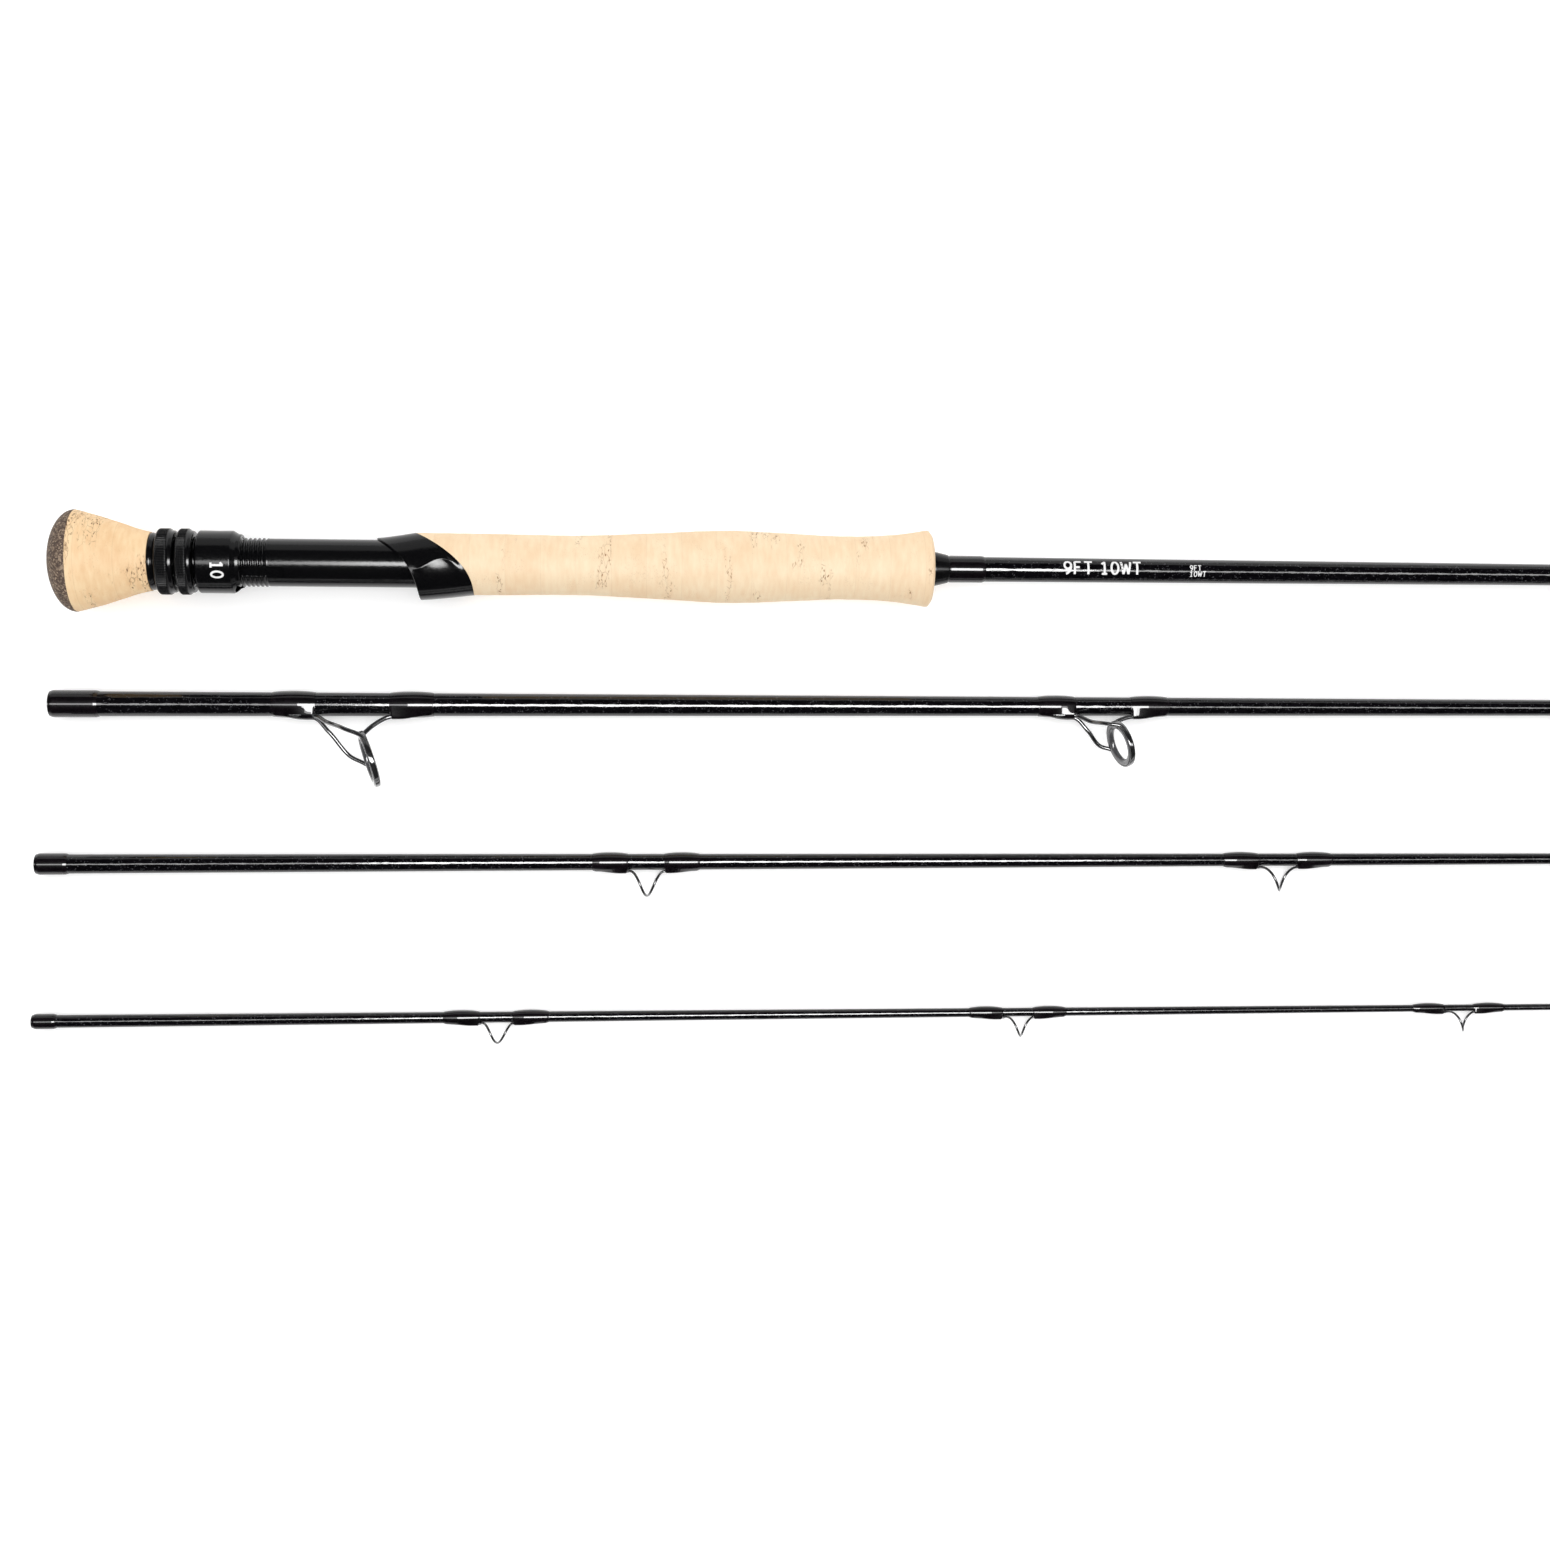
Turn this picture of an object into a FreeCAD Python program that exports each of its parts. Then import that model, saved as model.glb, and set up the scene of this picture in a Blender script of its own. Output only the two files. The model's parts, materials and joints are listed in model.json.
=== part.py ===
import FreeCAD, Part
import math
import os

import Sketcher
from FreeCAD import Placement, Rotation, Vector

# A four-piece fly rod taken apart, its sections lying side by side on a flat surface.
# Millimetres. +X runs from butt to tip, +Z is up, and the origin is at the bottom centre of the
# whole layout. Each section is drawn along +X from its own butt end, with its guides (or the
# reel) on the +Z side, and its Placement then rolls it over and lays it in its row.

SECTIONS = ("butt", "lower", "upper", "tip")
LABEL_LIMIT = 60
DIMENSIONS = [
    ("section_length", 724.0, "length of each section"),
    ("origin_x", -367.295, "butt cap apex to layout centre along X, negative"),
    ("origin_y", 2.337, "shift of all rows along Y"),
    # rows: start along X and place across, roll about the axis, nose-down pitch, height
    ("butt_start", 10.6, "butt section's start, from the tip section's start"),
    ("lower_start", 7.0, "lower section's start"),
    ("upper_start", 1.7, "upper section's start"),
    ("tip_start", 0.0, "tip section's start"),
    ("butt_row", 76.5, "butt section's row across the layout"),
    ("lower_row", 25.9, "lower section's row"),
    ("upper_row", -32.4, "upper section's row"),
    ("tip_row", -89.8, "tip section's row"),
    ("butt_roll", 90.0, "turn of the reel side away from upright"),
    ("lower_roll", 58.0, "turn of the lower section's guides away from upright"),
    ("upper_roll", 77.0, "turn of the upper section's guides away from upright"),
    ("tip_roll", 62.0, "turn of the tip section's guides away from upright"),
    ("butt_pitch", 0.7197, "nose-down pitch of the butt section on its two rims"),
    ("lower_pitch", 0.10, "nose-down pitch of the lower section"),
    ("upper_pitch", 0.06, "nose-down pitch of the upper section"),
    ("tip_pitch", 0.03, "nose-down pitch of the tip section"),
    ("butt_height", 18.333, "axis height at the butt section's start"),
    ("lower_height", 5.03, "axis height at the lower section's start"),
    ("upper_height", 3.97, "axis height at the upper section's start"),
    ("tip_height", 2.84, "axis height at the tip section's start"),
    # blanks
    ("butt_root", 5.53, "blank radius at the butt section's start"),
    ("lower_root", 4.66, "blank radius at the lower section's start"),
    ("upper_root", 3.58, "blank radius at the upper section's start"),
    ("tip_root", 2.37, "blank radius at the tip section's start"),
    ("butt_spigot", 3.75, "radius of the butt section's parallel tip end"),
    ("lower_spigot", 2.78, "radius of the lower section's parallel tip end"),
    ("upper_spigot", 1.82, "radius of the upper section's parallel tip end"),
    ("tip_spigot", 0.90, "radius of the tip section's last stretch"),
    ("butt_land", 60.0, "length that slides into the lower section"),
    ("lower_land", 55.0, "length that slides into the upper section"),
    ("upper_land", 45.0, "length that slides into the tip section"),
    ("tip_land", 12.0, "length inside the tip-top's tube"),
    ("ferrule_clearance", 0.02, "radial clearance of a spigot in its socket"),
    ("socket_spare", 4.0, "socket depth beyond the spigot"),
    ("wall_root", 0.80, "blank wall at the butt end"),
    ("wall_tip", 0.45, "blank wall at the tip end"),
    ("glue_gap", 0.02, "gap between glued pieces"),
    ("wrap_lap", 0.5, "blank left bare before the ferrule wrap"),
    ("lower_ferrule_wrap", 17.5, "end of the lower section's ferrule wrap"),
    ("upper_ferrule_wrap", 11.5, "end of the upper section's ferrule wrap"),
    ("tip_ferrule_wrap", 8.7, "end of the tip section's ferrule wrap"),
    ("lower_coat", 0.36, "thread and varnish thickness, lower section"),
    ("upper_coat", 0.38, "thread and varnish thickness, upper section"),
    ("tip_coat", 0.42, "thread and varnish thickness, tip section"),
    # fighting butt
    ("cap_depth", 9.4, "depth of the butt cap's dome"),
    ("cap_radius", 18.2, "radius of the butt cap's rim"),
    ("cork_a", 18.2, "first station of the fighting butt's cork"),
    ("cork_b", 26.1, "second station"),
    ("cork_c", 32.4, "third station"),
    ("cork_end", 35.6, "reel seat end of the fighting butt's cork"),
    ("cork_a_radius", 15.8, "cork radius at the first station"),
    ("cork_b_radius", 13.25, "cork radius at the second station"),
    ("cork_c_radius", 11.2, "cork radius at the third station"),
    ("cork_end_radius", 10.5, "cork radius at the reel seat"),
    # reel seat
    ("barrel_bore", 7.0, "inside radius of the seat barrel"),
    ("barrel_radius", 8.6, "plain barrel radius"),
    ("thread_crest", 8.8, "crest radius of the barrel thread"),
    ("thread_root", 8.1, "root radius of the barrel thread"),
    ("thread_pitch", 1.6, "pitch of the barrel thread"),
    ("thread_start", 38.2, "start of the thread"),
    ("thread_end", 77.5, "end of the thread"),
    ("thread_turns", 24, "grooves cut for the thread"),
    ("barrel_end", 150.0, "end of the barrel, inside the grip"),
    ("keyway_width", 4.0, "width of the barrel's keyway"),
    ("keyway_end", 83.0, "front end of the keyway"),
    ("key_length", 6.0, "length of the key inside the sliding hood"),
    ("keyway_floor", 7.8, "distance of the keyway's floor from the axis"),
    ("key_angle", 30.0, "keyway's turn from the side towards the reel"),
    ("key_play", 0.1, "clearance between key and keyway"),
    ("collar_radius", 10.3, "radius of the end collar"),
    ("collar_end", 37.9, "front of the end collar"),
    ("nut_radius", 11.85, "radius of the two locking rings"),
    ("nut_shoulder", 11.1, "radius of a ring's plain shoulder"),
    ("nut_chamfer", 0.45, "chamfer of a locking ring"),
    ("nut_bore", 8.88, "bore radius of the rings and the sliding hood"),
    ("knurl_radius", 0.45, "radius of one knurl groove"),
    ("knurl_count", 36, "knurl grooves around a ring"),
    ("jam_start", 38.1, "back of the jam ring"),
    ("jam_knurl_end", 42.6, "end of the jam ring's knurl"),
    ("jam_end", 44.5, "front of the jam ring"),
    ("lock_start", 45.4, "back of the lock ring"),
    ("lock_knurl_end", 49.4, "end of the lock ring's knurl"),
    ("lock_end", 51.0, "front of the lock ring"),
    ("slider_start", 52.4, "back of the sliding hood"),
    ("slider_end", 67.6, "front of the sliding hood"),
    ("slider_radius", 11.25, "radius of the sliding hood"),
    ("slider_floor", 56.0, "back of the foot pocket in the sliding hood"),
    ("foot_offset", 4.1, "centre of the round foot pockets above the axis"),
    ("foot_radius", 6.6, "radius of the round foot pockets"),
    ("nose_length", 3.1, "length of the sliding hood's bevelled nose"),
    ("nose_lip", 1.3, "length of the lip ahead of the bevel"),
    ("nose_radius", 10.1, "radius of the lip"),
    ("window_at", 59.5, "centre of the oval dimple on the sliding hood"),
    ("window_radius", 2.7, "radius of the dimple"),
    ("window_floor", 10.5, "distance of the dimple's floor from the axis"),
    ("hood_radius", 11.2, "radius of the fixed front hood"),
    ("hood_rear", 108.0, "furthest back reach of the front hood"),
    ("hood_front", 151.0, "furthest front reach of the front hood"),
    ("hood_mouth_offset", 5.2, "centre of the hood's mouth bulge above the axis"),
    ("hood_mouth_radius", 7.8, "radius of the hood's mouth bulge"),
    ("hood_neck_offset", 4.4, "centre of the bulge at the cork"),
    ("hood_neck_radius", 6.6, "radius of the bulge at the cork"),
    ("hood_floor", 145.0, "front of the foot pocket in the front hood"),
    ("edge_reach", 14.0, "half height over which the hood's slanted edges are drawn"),
    ("rear_edge_far", 110.3, "rear edge of the front hood, side away from the reel"),
    ("rear_edge_mid", 125.5, "rear edge of the front hood, middle"),
    ("rear_edge_near", 131.1, "rear edge of the front hood, reel side"),
    ("front_edge_far", 123.0, "front edge of the front hood, side away from the reel"),
    ("front_edge_mid", 144.7, "front edge of the front hood, middle"),
    ("front_edge_near", 149.5, "front edge of the front hood, reel side"),
    ("arbor_length", 34.0, "length of one arbor under the seat"),
    ("arbor_bore", 5.52, "bore radius of the arbors and the corks"),
    # grip: stations from the hood to the winding check
    ("grip_a", 118.0, "grip station under the hood"),
    ("grip_b", 156.0, "grip station past the hood"),
    ("grip_c", 189.3, "grip's waist"),
    ("grip_d", 216.2, "grip station"),
    ("grip_e", 243.4, "grip's swell"),
    ("grip_f", 264.0, "grip station"),
    ("grip_g", 284.5, "grip's second waist"),
    ("grip_h", 305.3, "grip station"),
    ("grip_i", 317.3, "front end of the grip"),
    ("grip_a_radius", 11.2, "grip radius under the hood"),
    ("grip_b_radius", 11.1, "grip radius past the hood"),
    ("grip_c_radius", 10.85, "radius at the waist"),
    ("grip_d_radius", 12.0, "grip radius"),
    ("grip_e_radius", 13.2, "radius at the swell"),
    ("grip_f_radius", 12.45, "grip radius"),
    ("grip_g_radius", 11.6, "radius at the second waist"),
    ("grip_h_radius", 12.5, "grip radius"),
    ("grip_i_radius", 14.35, "radius of the grip's front rim"),
    ("check_end", 324.1, "front of the winding check"),
    ("check_radius", 6.4, "radius of the winding check"),
    ("hosel_end", 337.8, "end of the wrap in front of the check"),
    ("hosel_radius", 5.05, "radius of that wrap"),
    # guides
    ("ring_lean", 21.0, "lean of a stripping guide's ring towards the tip"),
    ("stripper_wire", 0.85, "wire radius of a stripping guide's frame"),
    ("holder_depth", 2.0, "depth of the frame's ring along its axis"),
    ("holder_wall", 0.75, "wall of the frame's ring"),
    ("insert_depth", 2.4, "depth of the ceramic ring"),
    ("insert_wall", 2.3, "wall of the ceramic ring"),
    ("top_outer", 3.6, "outside radius of the tip-top's loop"),
    ("top_wire", 0.55, "wire radius of the tip-top's loop"),
    ("top_tube", 1.25, "outside radius of the tip-top's tube"),
    ("top_offset", 3.2, "height of the tip-top's loop above the axis"),
    ("top_reach", 4.2, "reach of the tip-top's loop past the tube"),
]

# name, section, rear wrap's two ends, front wrap's two ends, ring centre along, above the axis
# and outer radius of the holder
STRIPPERS = [
    ("stripping_guide_large", "lower", (79.3, 95.2), (122.0, 138.0), 115.8, 23.8, 10.7),
    ("stripping_guide_small", "lower", (363.6, 377.8), (399.0, 413.6), 393.4, 16.8, 9.0),
]
# name, section, middle, wrap length, gap between wraps, reach from the axis, wire radius
SNAKES = [
    ("snake_guide_1", "lower", 628.0, 13.0, 13.4, 13.3, 0.50),
    ("snake_guide_2", "upper", 221.3, 13.3, 13.4, 13.2, 0.50),
    ("snake_guide_3", "upper", 461.9, 13.6, 15.0, 12.4, 0.50),
    ("snake_guide_4", "upper", 640.0, 12.6, 13.0, 11.0, 0.47),
    ("snake_guide_5", "tip", 167.6, 13.4, 12.0, 10.3, 0.45),
    ("snake_guide_6", "tip", 363.3, 12.8, 11.5, 9.8, 0.43),
    ("snake_guide_7", "tip", 535.5, 12.4, 11.5, 9.6, 0.42),
    ("snake_guide_8", "tip", 636.0, 11.0, 10.5, 9.0, 0.40),
]
ALONG_X = Rotation(Vector(0, 0, 1), Vector(1, 0, 0))

doc = FreeCAD.newDocument("fly_rod")
sheet = doc.addObject("Spreadsheet::Sheet", "dims")


def fill_sheet():
    for row, (alias, number, meaning) in enumerate(DIMENSIONS, start=1):
        sheet.set(f"A{row}", meaning)
        sheet.set(f"B{row}", str(number))
        sheet.setAlias(f"B{row}", alias)
    doc.recompute()


def value(expression):
    """The number that an expression on the sheet's cells comes to."""
    return float(sheet.evalExpression(expression))


def dim(alias):
    return f"dims.{alias}"


def bind(thing, **expressions):
    for name, expression in expressions.items():
        thing.setExpression(name.replace("__", "."), expression)


# ---------------------------------------------------------------- sketches and features


def new_body(name):
    body = doc.addObject("PartDesign::Body", name)
    body.Label = name
    return body


def new_sketch(body, name, role, offset="0", turn="0"):
    """An empty sketch on one of the body's origin planes, moved along and turned about its normal."""
    plane = next(f for f in body.Origin.OriginFeatures if f.Role == role)
    sketch = body.newObject("Sketcher::SketchObject", name)
    sketch.AttachmentSupport = [(plane, "")]
    sketch.MapMode = "FlatFace"
    sketch.setExpression("AttachmentOffset.Base.z", offset)
    sketch.setExpression("AttachmentOffset.Rotation.Axis.z", "1")
    sketch.setExpression("AttachmentOffset.Rotation.Angle", turn)
    return sketch


def pin_point(sketch, line, end, across, up):
    """Hold one end of a line at two expressions, measured from the sketch's origin."""
    for kind, expression in (("DistanceX", across), ("DistanceY", up)):
        rule = sketch.addConstraint(Sketcher.Constraint(kind, line, end, value(expression)))
        sketch.setExpression(f"Constraints[{rule}]", expression)


def draw_outline(sketch, corners, bulged=None):
    """Closed outline through corners. The side after corner number bulged[0] is an arc through
    the point bulged[1]."""
    points = [Vector(value(across), value(up), 0) for across, up in corners]
    count = len(points)
    for i in range(count):
        ends = (points[i], points[(i + 1) % count])
        if bulged and bulged[0] == i:
            via = Vector(value(bulged[1][0]), value(bulged[1][1]), 0)
            sketch.addGeometry(Part.Arc(ends[0], via, ends[1]), False)
        else:
            sketch.addGeometry(Part.LineSegment(*ends), False)
    for i, (across, up) in enumerate(corners):
        if bulged and i in (bulged[0], (bulged[0] + 1) % count):
            continue
        pin_point(sketch, i, 1, across, up)
    for i in range(count):
        if bulged and bulged[0] in (i, (i + 1) % count):
            continue
        sketch.addConstraint(Sketcher.Constraint("Coincident", i, 2, (i + 1) % count, 1))
    if bulged:
        hold_arc(sketch, bulged, corners)


def hold_arc(sketch, bulged, corners):
    """Join the arc to its two neighbours, and hold it by its ends and a point on it."""
    arc, (across, up) = bulged
    count = len(corners)
    before, after = (arc - 1) % count, (arc + 1) % count
    starts_at_corner = math.hypot(
        sketch.getPoint(arc, 1).x - value(corners[arc][0]),
        sketch.getPoint(arc, 1).y - value(corners[arc][1]),
    ) < 1e-6
    first, last = (1, 2) if starts_at_corner else (2, 1)
    pin_point(sketch, arc, first, *corners[arc])
    pin_point(sketch, arc, last, *corners[after])
    sketch.addConstraint(Sketcher.Constraint("Coincident", before, 2, arc, first))
    sketch.addConstraint(Sketcher.Constraint("Coincident", arc, last, after, 1))
    via = sketch.addGeometry(Part.Point(Vector(value(across), value(up), 0)), True)
    pin_point(sketch, via, 1, across, up)
    sketch.addConstraint(Sketcher.Constraint("PointOnObject", via, 1, arc))


def draw_circle(sketch, across, up, radius):
    circle = Part.Circle(Vector(value(across), value(up), 0), Vector(0, 0, 1), value(radius))
    sketch.addGeometry(circle, False)
    pin_point(sketch, 0, 3, across, up)
    rule = sketch.addConstraint(Sketcher.Constraint("Radius", 0, value(radius)))
    sketch.setExpression(f"Constraints[{rule}]", radius)


def spin(body, name, kind, corners):
    """A Revolution or Groove of an outline, given as (along the axis, radius) corners."""
    sketch = new_sketch(body, f"{name}_outline", "XY_Plane")
    draw_outline(sketch, corners)
    feature = body.newObject(f"PartDesign::{kind}", name)
    feature.Profile = sketch
    feature.ReferenceAxis = (sketch, ["H_Axis"])
    feature.Angle = 360
    return feature


def turned(name, corners):
    body = new_body(name)
    spin(body, f"{name}_turning", "Revolution", corners)
    return body


def loft(body, name, stations, kind="AdditiveLoft"):
    """Loft through circles across the axis: (along, height above the axis, radius)."""
    rings = []
    for number, (along, height, radius) in enumerate(stations):
        sketch = new_sketch(body, f"{name}_ring_{number}", "YZ_Plane", along)
        draw_circle(sketch, "0", height, radius)
        rings.append(sketch)
    feature = body.newObject(f"PartDesign::{kind}", name)
    feature.Profile = rings[0]
    feature.Sections = rings[1:]
    feature.Ruled = len(rings) == 2
    return feature


def along_axis(body, name, kind, sketch, length, back=False):
    """A Pad or Pocket of a sketch across the axis. Both run towards +X unless back is set."""
    feature = body.newObject(f"PartDesign::{kind}", name)
    feature.Profile = sketch
    feature.Reversed = (kind == "Pocket") != back
    bind(feature, Length=length)
    return feature


def cut_slanted(body, name, edge, towards):
    """Cut away everything on one side of a curved edge that runs across the axis."""
    far, middle, near = (dim(f"{edge}_edge_{place}") for place in ("far", "mid", "near"))
    low, high = f"-{dim('edge_reach')}", dim("edge_reach")
    corners = [(far, low), (near, high), (towards, high), (towards, low)]
    sketch = new_sketch(body, f"{name}_outline", "XZ_Plane")
    draw_outline(sketch, corners, bulged=(0, (middle, "0")))
    feature = body.newObject("PartDesign::Pocket", name)
    feature.Profile = sketch
    feature.Type = "ThroughAll"
    feature.SideType = "Symmetric"
    return feature


# ---------------------------------------------------------------- blanks, ferrules and wraps


def blank_radius(section, along, extra="0"):
    """Outside radius of a section's blank at a place along it, as an expression."""
    root, spigot, land = (dim(f"{section}_{part}") for part in ("root", "spigot", "land"))
    share = f"({along}) / ({dim('section_length')} - {land})"
    return f"{root} + ({spigot} - {root}) * {share} + {extra}"


def socket_of(section):
    """Radius and depth of the socket that takes the spigot of the section before."""
    before = SECTIONS[SECTIONS.index(section) - 1]
    radius = f"{dim(before + '_spigot')} + {dim('ferrule_clearance')}"
    depth = f"{dim(before + '_land')} + {dim('socket_spare')}"
    return radius, depth


def make_blank(section):
    """Tapered tube with a parallel spigot at its tip end and a socket at its butt end."""
    length, spigot, land = dim("section_length"), dim(f"{section}_spigot"), dim(f"{section}_land")
    tip_bore = f"{spigot} - {dim('wall_tip')}"
    start = dim("cap_depth") if section == "butt" else "0"
    corners = [
        (start, blank_radius(section, start)),
        (f"{length} - {land}", spigot),
        (length, spigot),
        (length, tip_bore),
        (f"{length} - {land}", tip_bore),
    ]
    if section == "butt":
        corners.append((start, f"{dim('butt_root')} - {dim('wall_root')}"))
    else:
        radius, depth = socket_of(section)
        corners += [
            (f"{depth} + 2", blank_radius(section, depth, f"-{dim('wall_root')}")),
            (depth, radius),
            (start, radius),
        ]
    return turned(f"blank_{section}", corners)


def make_sleeve(name, section, start, end, rise):
    """Thread wrap all round the blank, with softly tapered ends."""
    gap = dim("glue_gap")
    slope = "1.2"
    return turned(name, [
        (start, blank_radius(section, start, gap)),
        (start, blank_radius(section, start, f"{rise} * 0.4")),
        (f"{start} + {slope}", blank_radius(section, start, rise)),
        (f"{end} - {slope}", blank_radius(section, end, rise)),
        (end, blank_radius(section, end, f"{rise} * 0.3")),
        (end, blank_radius(section, end, gap)),
    ])


def foot_height(section, along, wire):
    """Height of a guide foot's wire, which lies on the blank."""
    return value(blank_radius(section, f"{along}")) + wire + value(dim("glue_gap"))


def make_wrap(name, section, ends, foot, wire, coat):
    """Thread wrap over a guide's foot: a sleeve with a long hump over the foot, hollowed for the
    blank and the foot."""
    start, end = (f"{end}" for end in ends)
    slope = "1.5"
    body = new_body(name)
    spin(body, f"{name}_sleeve", "Revolution", [
        (start, "0"),
        (start, blank_radius(section, start, f"{coat} * 0.5")),
        (f"{start} + {slope}", blank_radius(section, start, coat)),
        (f"{end} - {slope}", blank_radius(section, end, coat)),
        (end, blank_radius(section, end, f"{coat} * 0.5")),
        (end, "0"),
    ])
    hump = body.newObject("PartDesign::AdditiveEllipsoid", f"{name}_hump")
    hump.Placement = Placement(Vector((ends[0] + ends[1]) / 2, 0, foot), ALONG_X)
    bind(hump, Radius1=f"({end} - {start}) * 0.5 - 0.3", Radius2=f"{wire} + {coat}",
         Radius3=f"{wire} * 1.4 + {coat} * 1.6")
    spin(body, f"{name}_blank", "Groove", [
        (f"{start} - 1", "0"),
        (f"{start} - 1", blank_radius(section, f"{start} - 1", dim("glue_gap"))),
        (f"{end} + 1", blank_radius(section, f"{end} + 1", dim("glue_gap"))),
        (f"{end} + 1", "0"),
    ])
    hole = body.newObject("PartDesign::SubtractiveCylinder", f"{name}_foot")
    hole.Placement = Placement(Vector(ends[0] - 1, 0, foot), ALONG_X)
    bind(hole, Radius=f"{wire} + {dim('glue_gap')} * 0.5", Height=f"{end} - {start} + 2")
    return body


# ---------------------------------------------------------------- butt section


def make_butt_cap():
    cap = doc.addObject("Part::Ellipsoid", "butt_cap")
    cap.Label = "butt_cap"
    cap.Angle1 = -90
    cap.Angle2 = 0
    bind(cap, Radius1=dim("cap_depth"), Radius2=dim("cap_radius"), Radius3=dim("cap_radius"))
    return cap


def bore_axis(body, name, steps):
    """Bore along the axis, given as (place, radius) steps."""
    corners = [(steps[0][0], "0")] + list(steps) + [(steps[-1][0], "0")]
    return spin(body, name, "Groove", corners)


def make_fighting_butt():
    body = new_body("fighting_butt_cork")
    stations = [(f"{dim('cap_depth')} + {dim('glue_gap')}", "0", dim("cap_radius"))]
    stations += [(dim(s), "0", dim(f"{s}_radius")) for s in ("cork_a", "cork_b", "cork_c")]
    stations.append((dim("cork_end"), "0", dim("cork_end_radius")))
    loft(body, "fighting_butt_shape", stations)
    bore_axis(body, "fighting_butt_bore", [
        (f"{dim('cap_depth')} - 1", dim("arbor_bore")),
        (f"{dim('cork_end')} + 1", dim("arbor_bore")),
    ])
    return body


def make_end_collar():
    gap, radius = dim("glue_gap"), dim("collar_radius")
    bore = f"{dim('barrel_radius')} + {gap}"
    return turned("seat_end_collar", [
        (f"{dim('cork_end')} + {gap}", bore),
        (f"{dim('cork_end')} + {gap}", f"{radius} - 0.3"),
        (f"{dim('cork_end')} + 0.3", radius),
        (f"{dim('collar_end')} - 0.3", radius),
        (dim("collar_end"), f"{radius} - 0.3"),
        (dim("collar_end"), bore),
    ])


def make_barrel():
    start, crest, plain = dim("thread_start"), dim("thread_crest"), dim("barrel_radius")
    body = turned("seat_barrel", [
        (f"{dim('cork_end')} + {dim('glue_gap')}", dim("barrel_bore")),
        (f"{dim('cork_end')} + {dim('glue_gap')}", plain),
        (start, plain),
        (start, crest),
        (dim("thread_end"), crest),
        (dim("thread_end"), plain),
        (dim("barrel_end"), plain),
        (dim("barrel_end"), dim("barrel_bore")),
    ])
    doc.recompute()
    pitch = dim("thread_pitch")
    groove = spin(body, "thread_groove", "Groove", [
        (f"{start} + {pitch} * 0.1", f"{crest} + 0.2"),
        (f"{start} + {pitch} * 0.5", dim("thread_root")),
        (f"{start} + {pitch} * 0.9", f"{crest} + 0.2"),
    ])
    rows = body.newObject("PartDesign::LinearPattern", "thread_grooves")
    rows.Originals = [groove]
    rows.Direction = (groove.Profile[0], ["H_Axis"])
    bind(rows, Occurrences=dim("thread_turns"), Length=f"{pitch} * ({dim('thread_turns')} - 1)")
    body.Tip = rows
    doc.recompute()
    half = f"{dim('keyway_width')} * 0.5"
    sketch = new_sketch(body, "keyway_outline", "YZ_Plane", f"{start} - 0.1", dim("key_angle"))
    draw_outline(sketch, [
        (dim("keyway_floor"), f"-{half}"),
        (f"{crest} + 1", f"-{half}"),
        (f"{crest} + 1", half),
        (dim("keyway_floor"), half),
    ])
    along_axis(body, "keyway", "Pocket", sketch, f"{dim('keyway_end')} - {start}")
    return body


def make_arbor(name, start):
    bore, outer = dim("arbor_bore"), f"{dim('barrel_bore')} - {dim('glue_gap')}"
    end = f"{start} + {dim('arbor_length')}"
    return turned(name, [(start, bore), (start, outer), (end, outer), (end, bore)])


def make_locking_ring(name, part):
    """Knurled ring with a plain shoulder. Its bore clears the thread's crests."""
    start, knurl_end, end = (dim(f"{part}_{place}") for place in ("start", "knurl_end", "end"))
    bore, outer, shoulder = dim("nut_bore"), dim("nut_radius"), dim("nut_shoulder")
    chamfer = dim("nut_chamfer")
    body = turned(name, [
        (start, bore),
        (start, f"{outer} - {chamfer}"),
        (f"{start} + {chamfer}", outer),
        (f"{knurl_end} - {chamfer}", outer),
        (knurl_end, shoulder),
        (f"{end} - {chamfer}", shoulder),
        (end, f"{shoulder} - {chamfer}"),
        (end, bore),
    ])
    doc.recompute()
    sketch = new_sketch(body, f"{name}_knurl_outline", "YZ_Plane", f"{start} - 0.1")
    draw_circle(sketch, "0", outer, dim("knurl_radius"))
    groove = along_axis(body, f"{name}_knurl", "Pocket", sketch, f"{knurl_end} - {start} + 0.1")
    ring = body.newObject("PartDesign::PolarPattern", f"{name}_knurls")
    ring.Originals = [groove]
    ring.Axis = (sketch, ["N_Axis"])
    ring.Angle = 360
    bind(ring, Occurrences=dim("knurl_count"))
    body.Tip = ring
    return body


def cut_foot_pocket(body, name, start, end):
    """Round pocket on the reel side that takes one end of the reel's foot."""
    sketch = new_sketch(body, f"{name}_outline", "YZ_Plane", start)
    draw_circle(sketch, "0", dim("foot_offset"), dim("foot_radius"))
    return along_axis(body, name, "Pocket", sketch, f"{end} - {start}")


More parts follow.
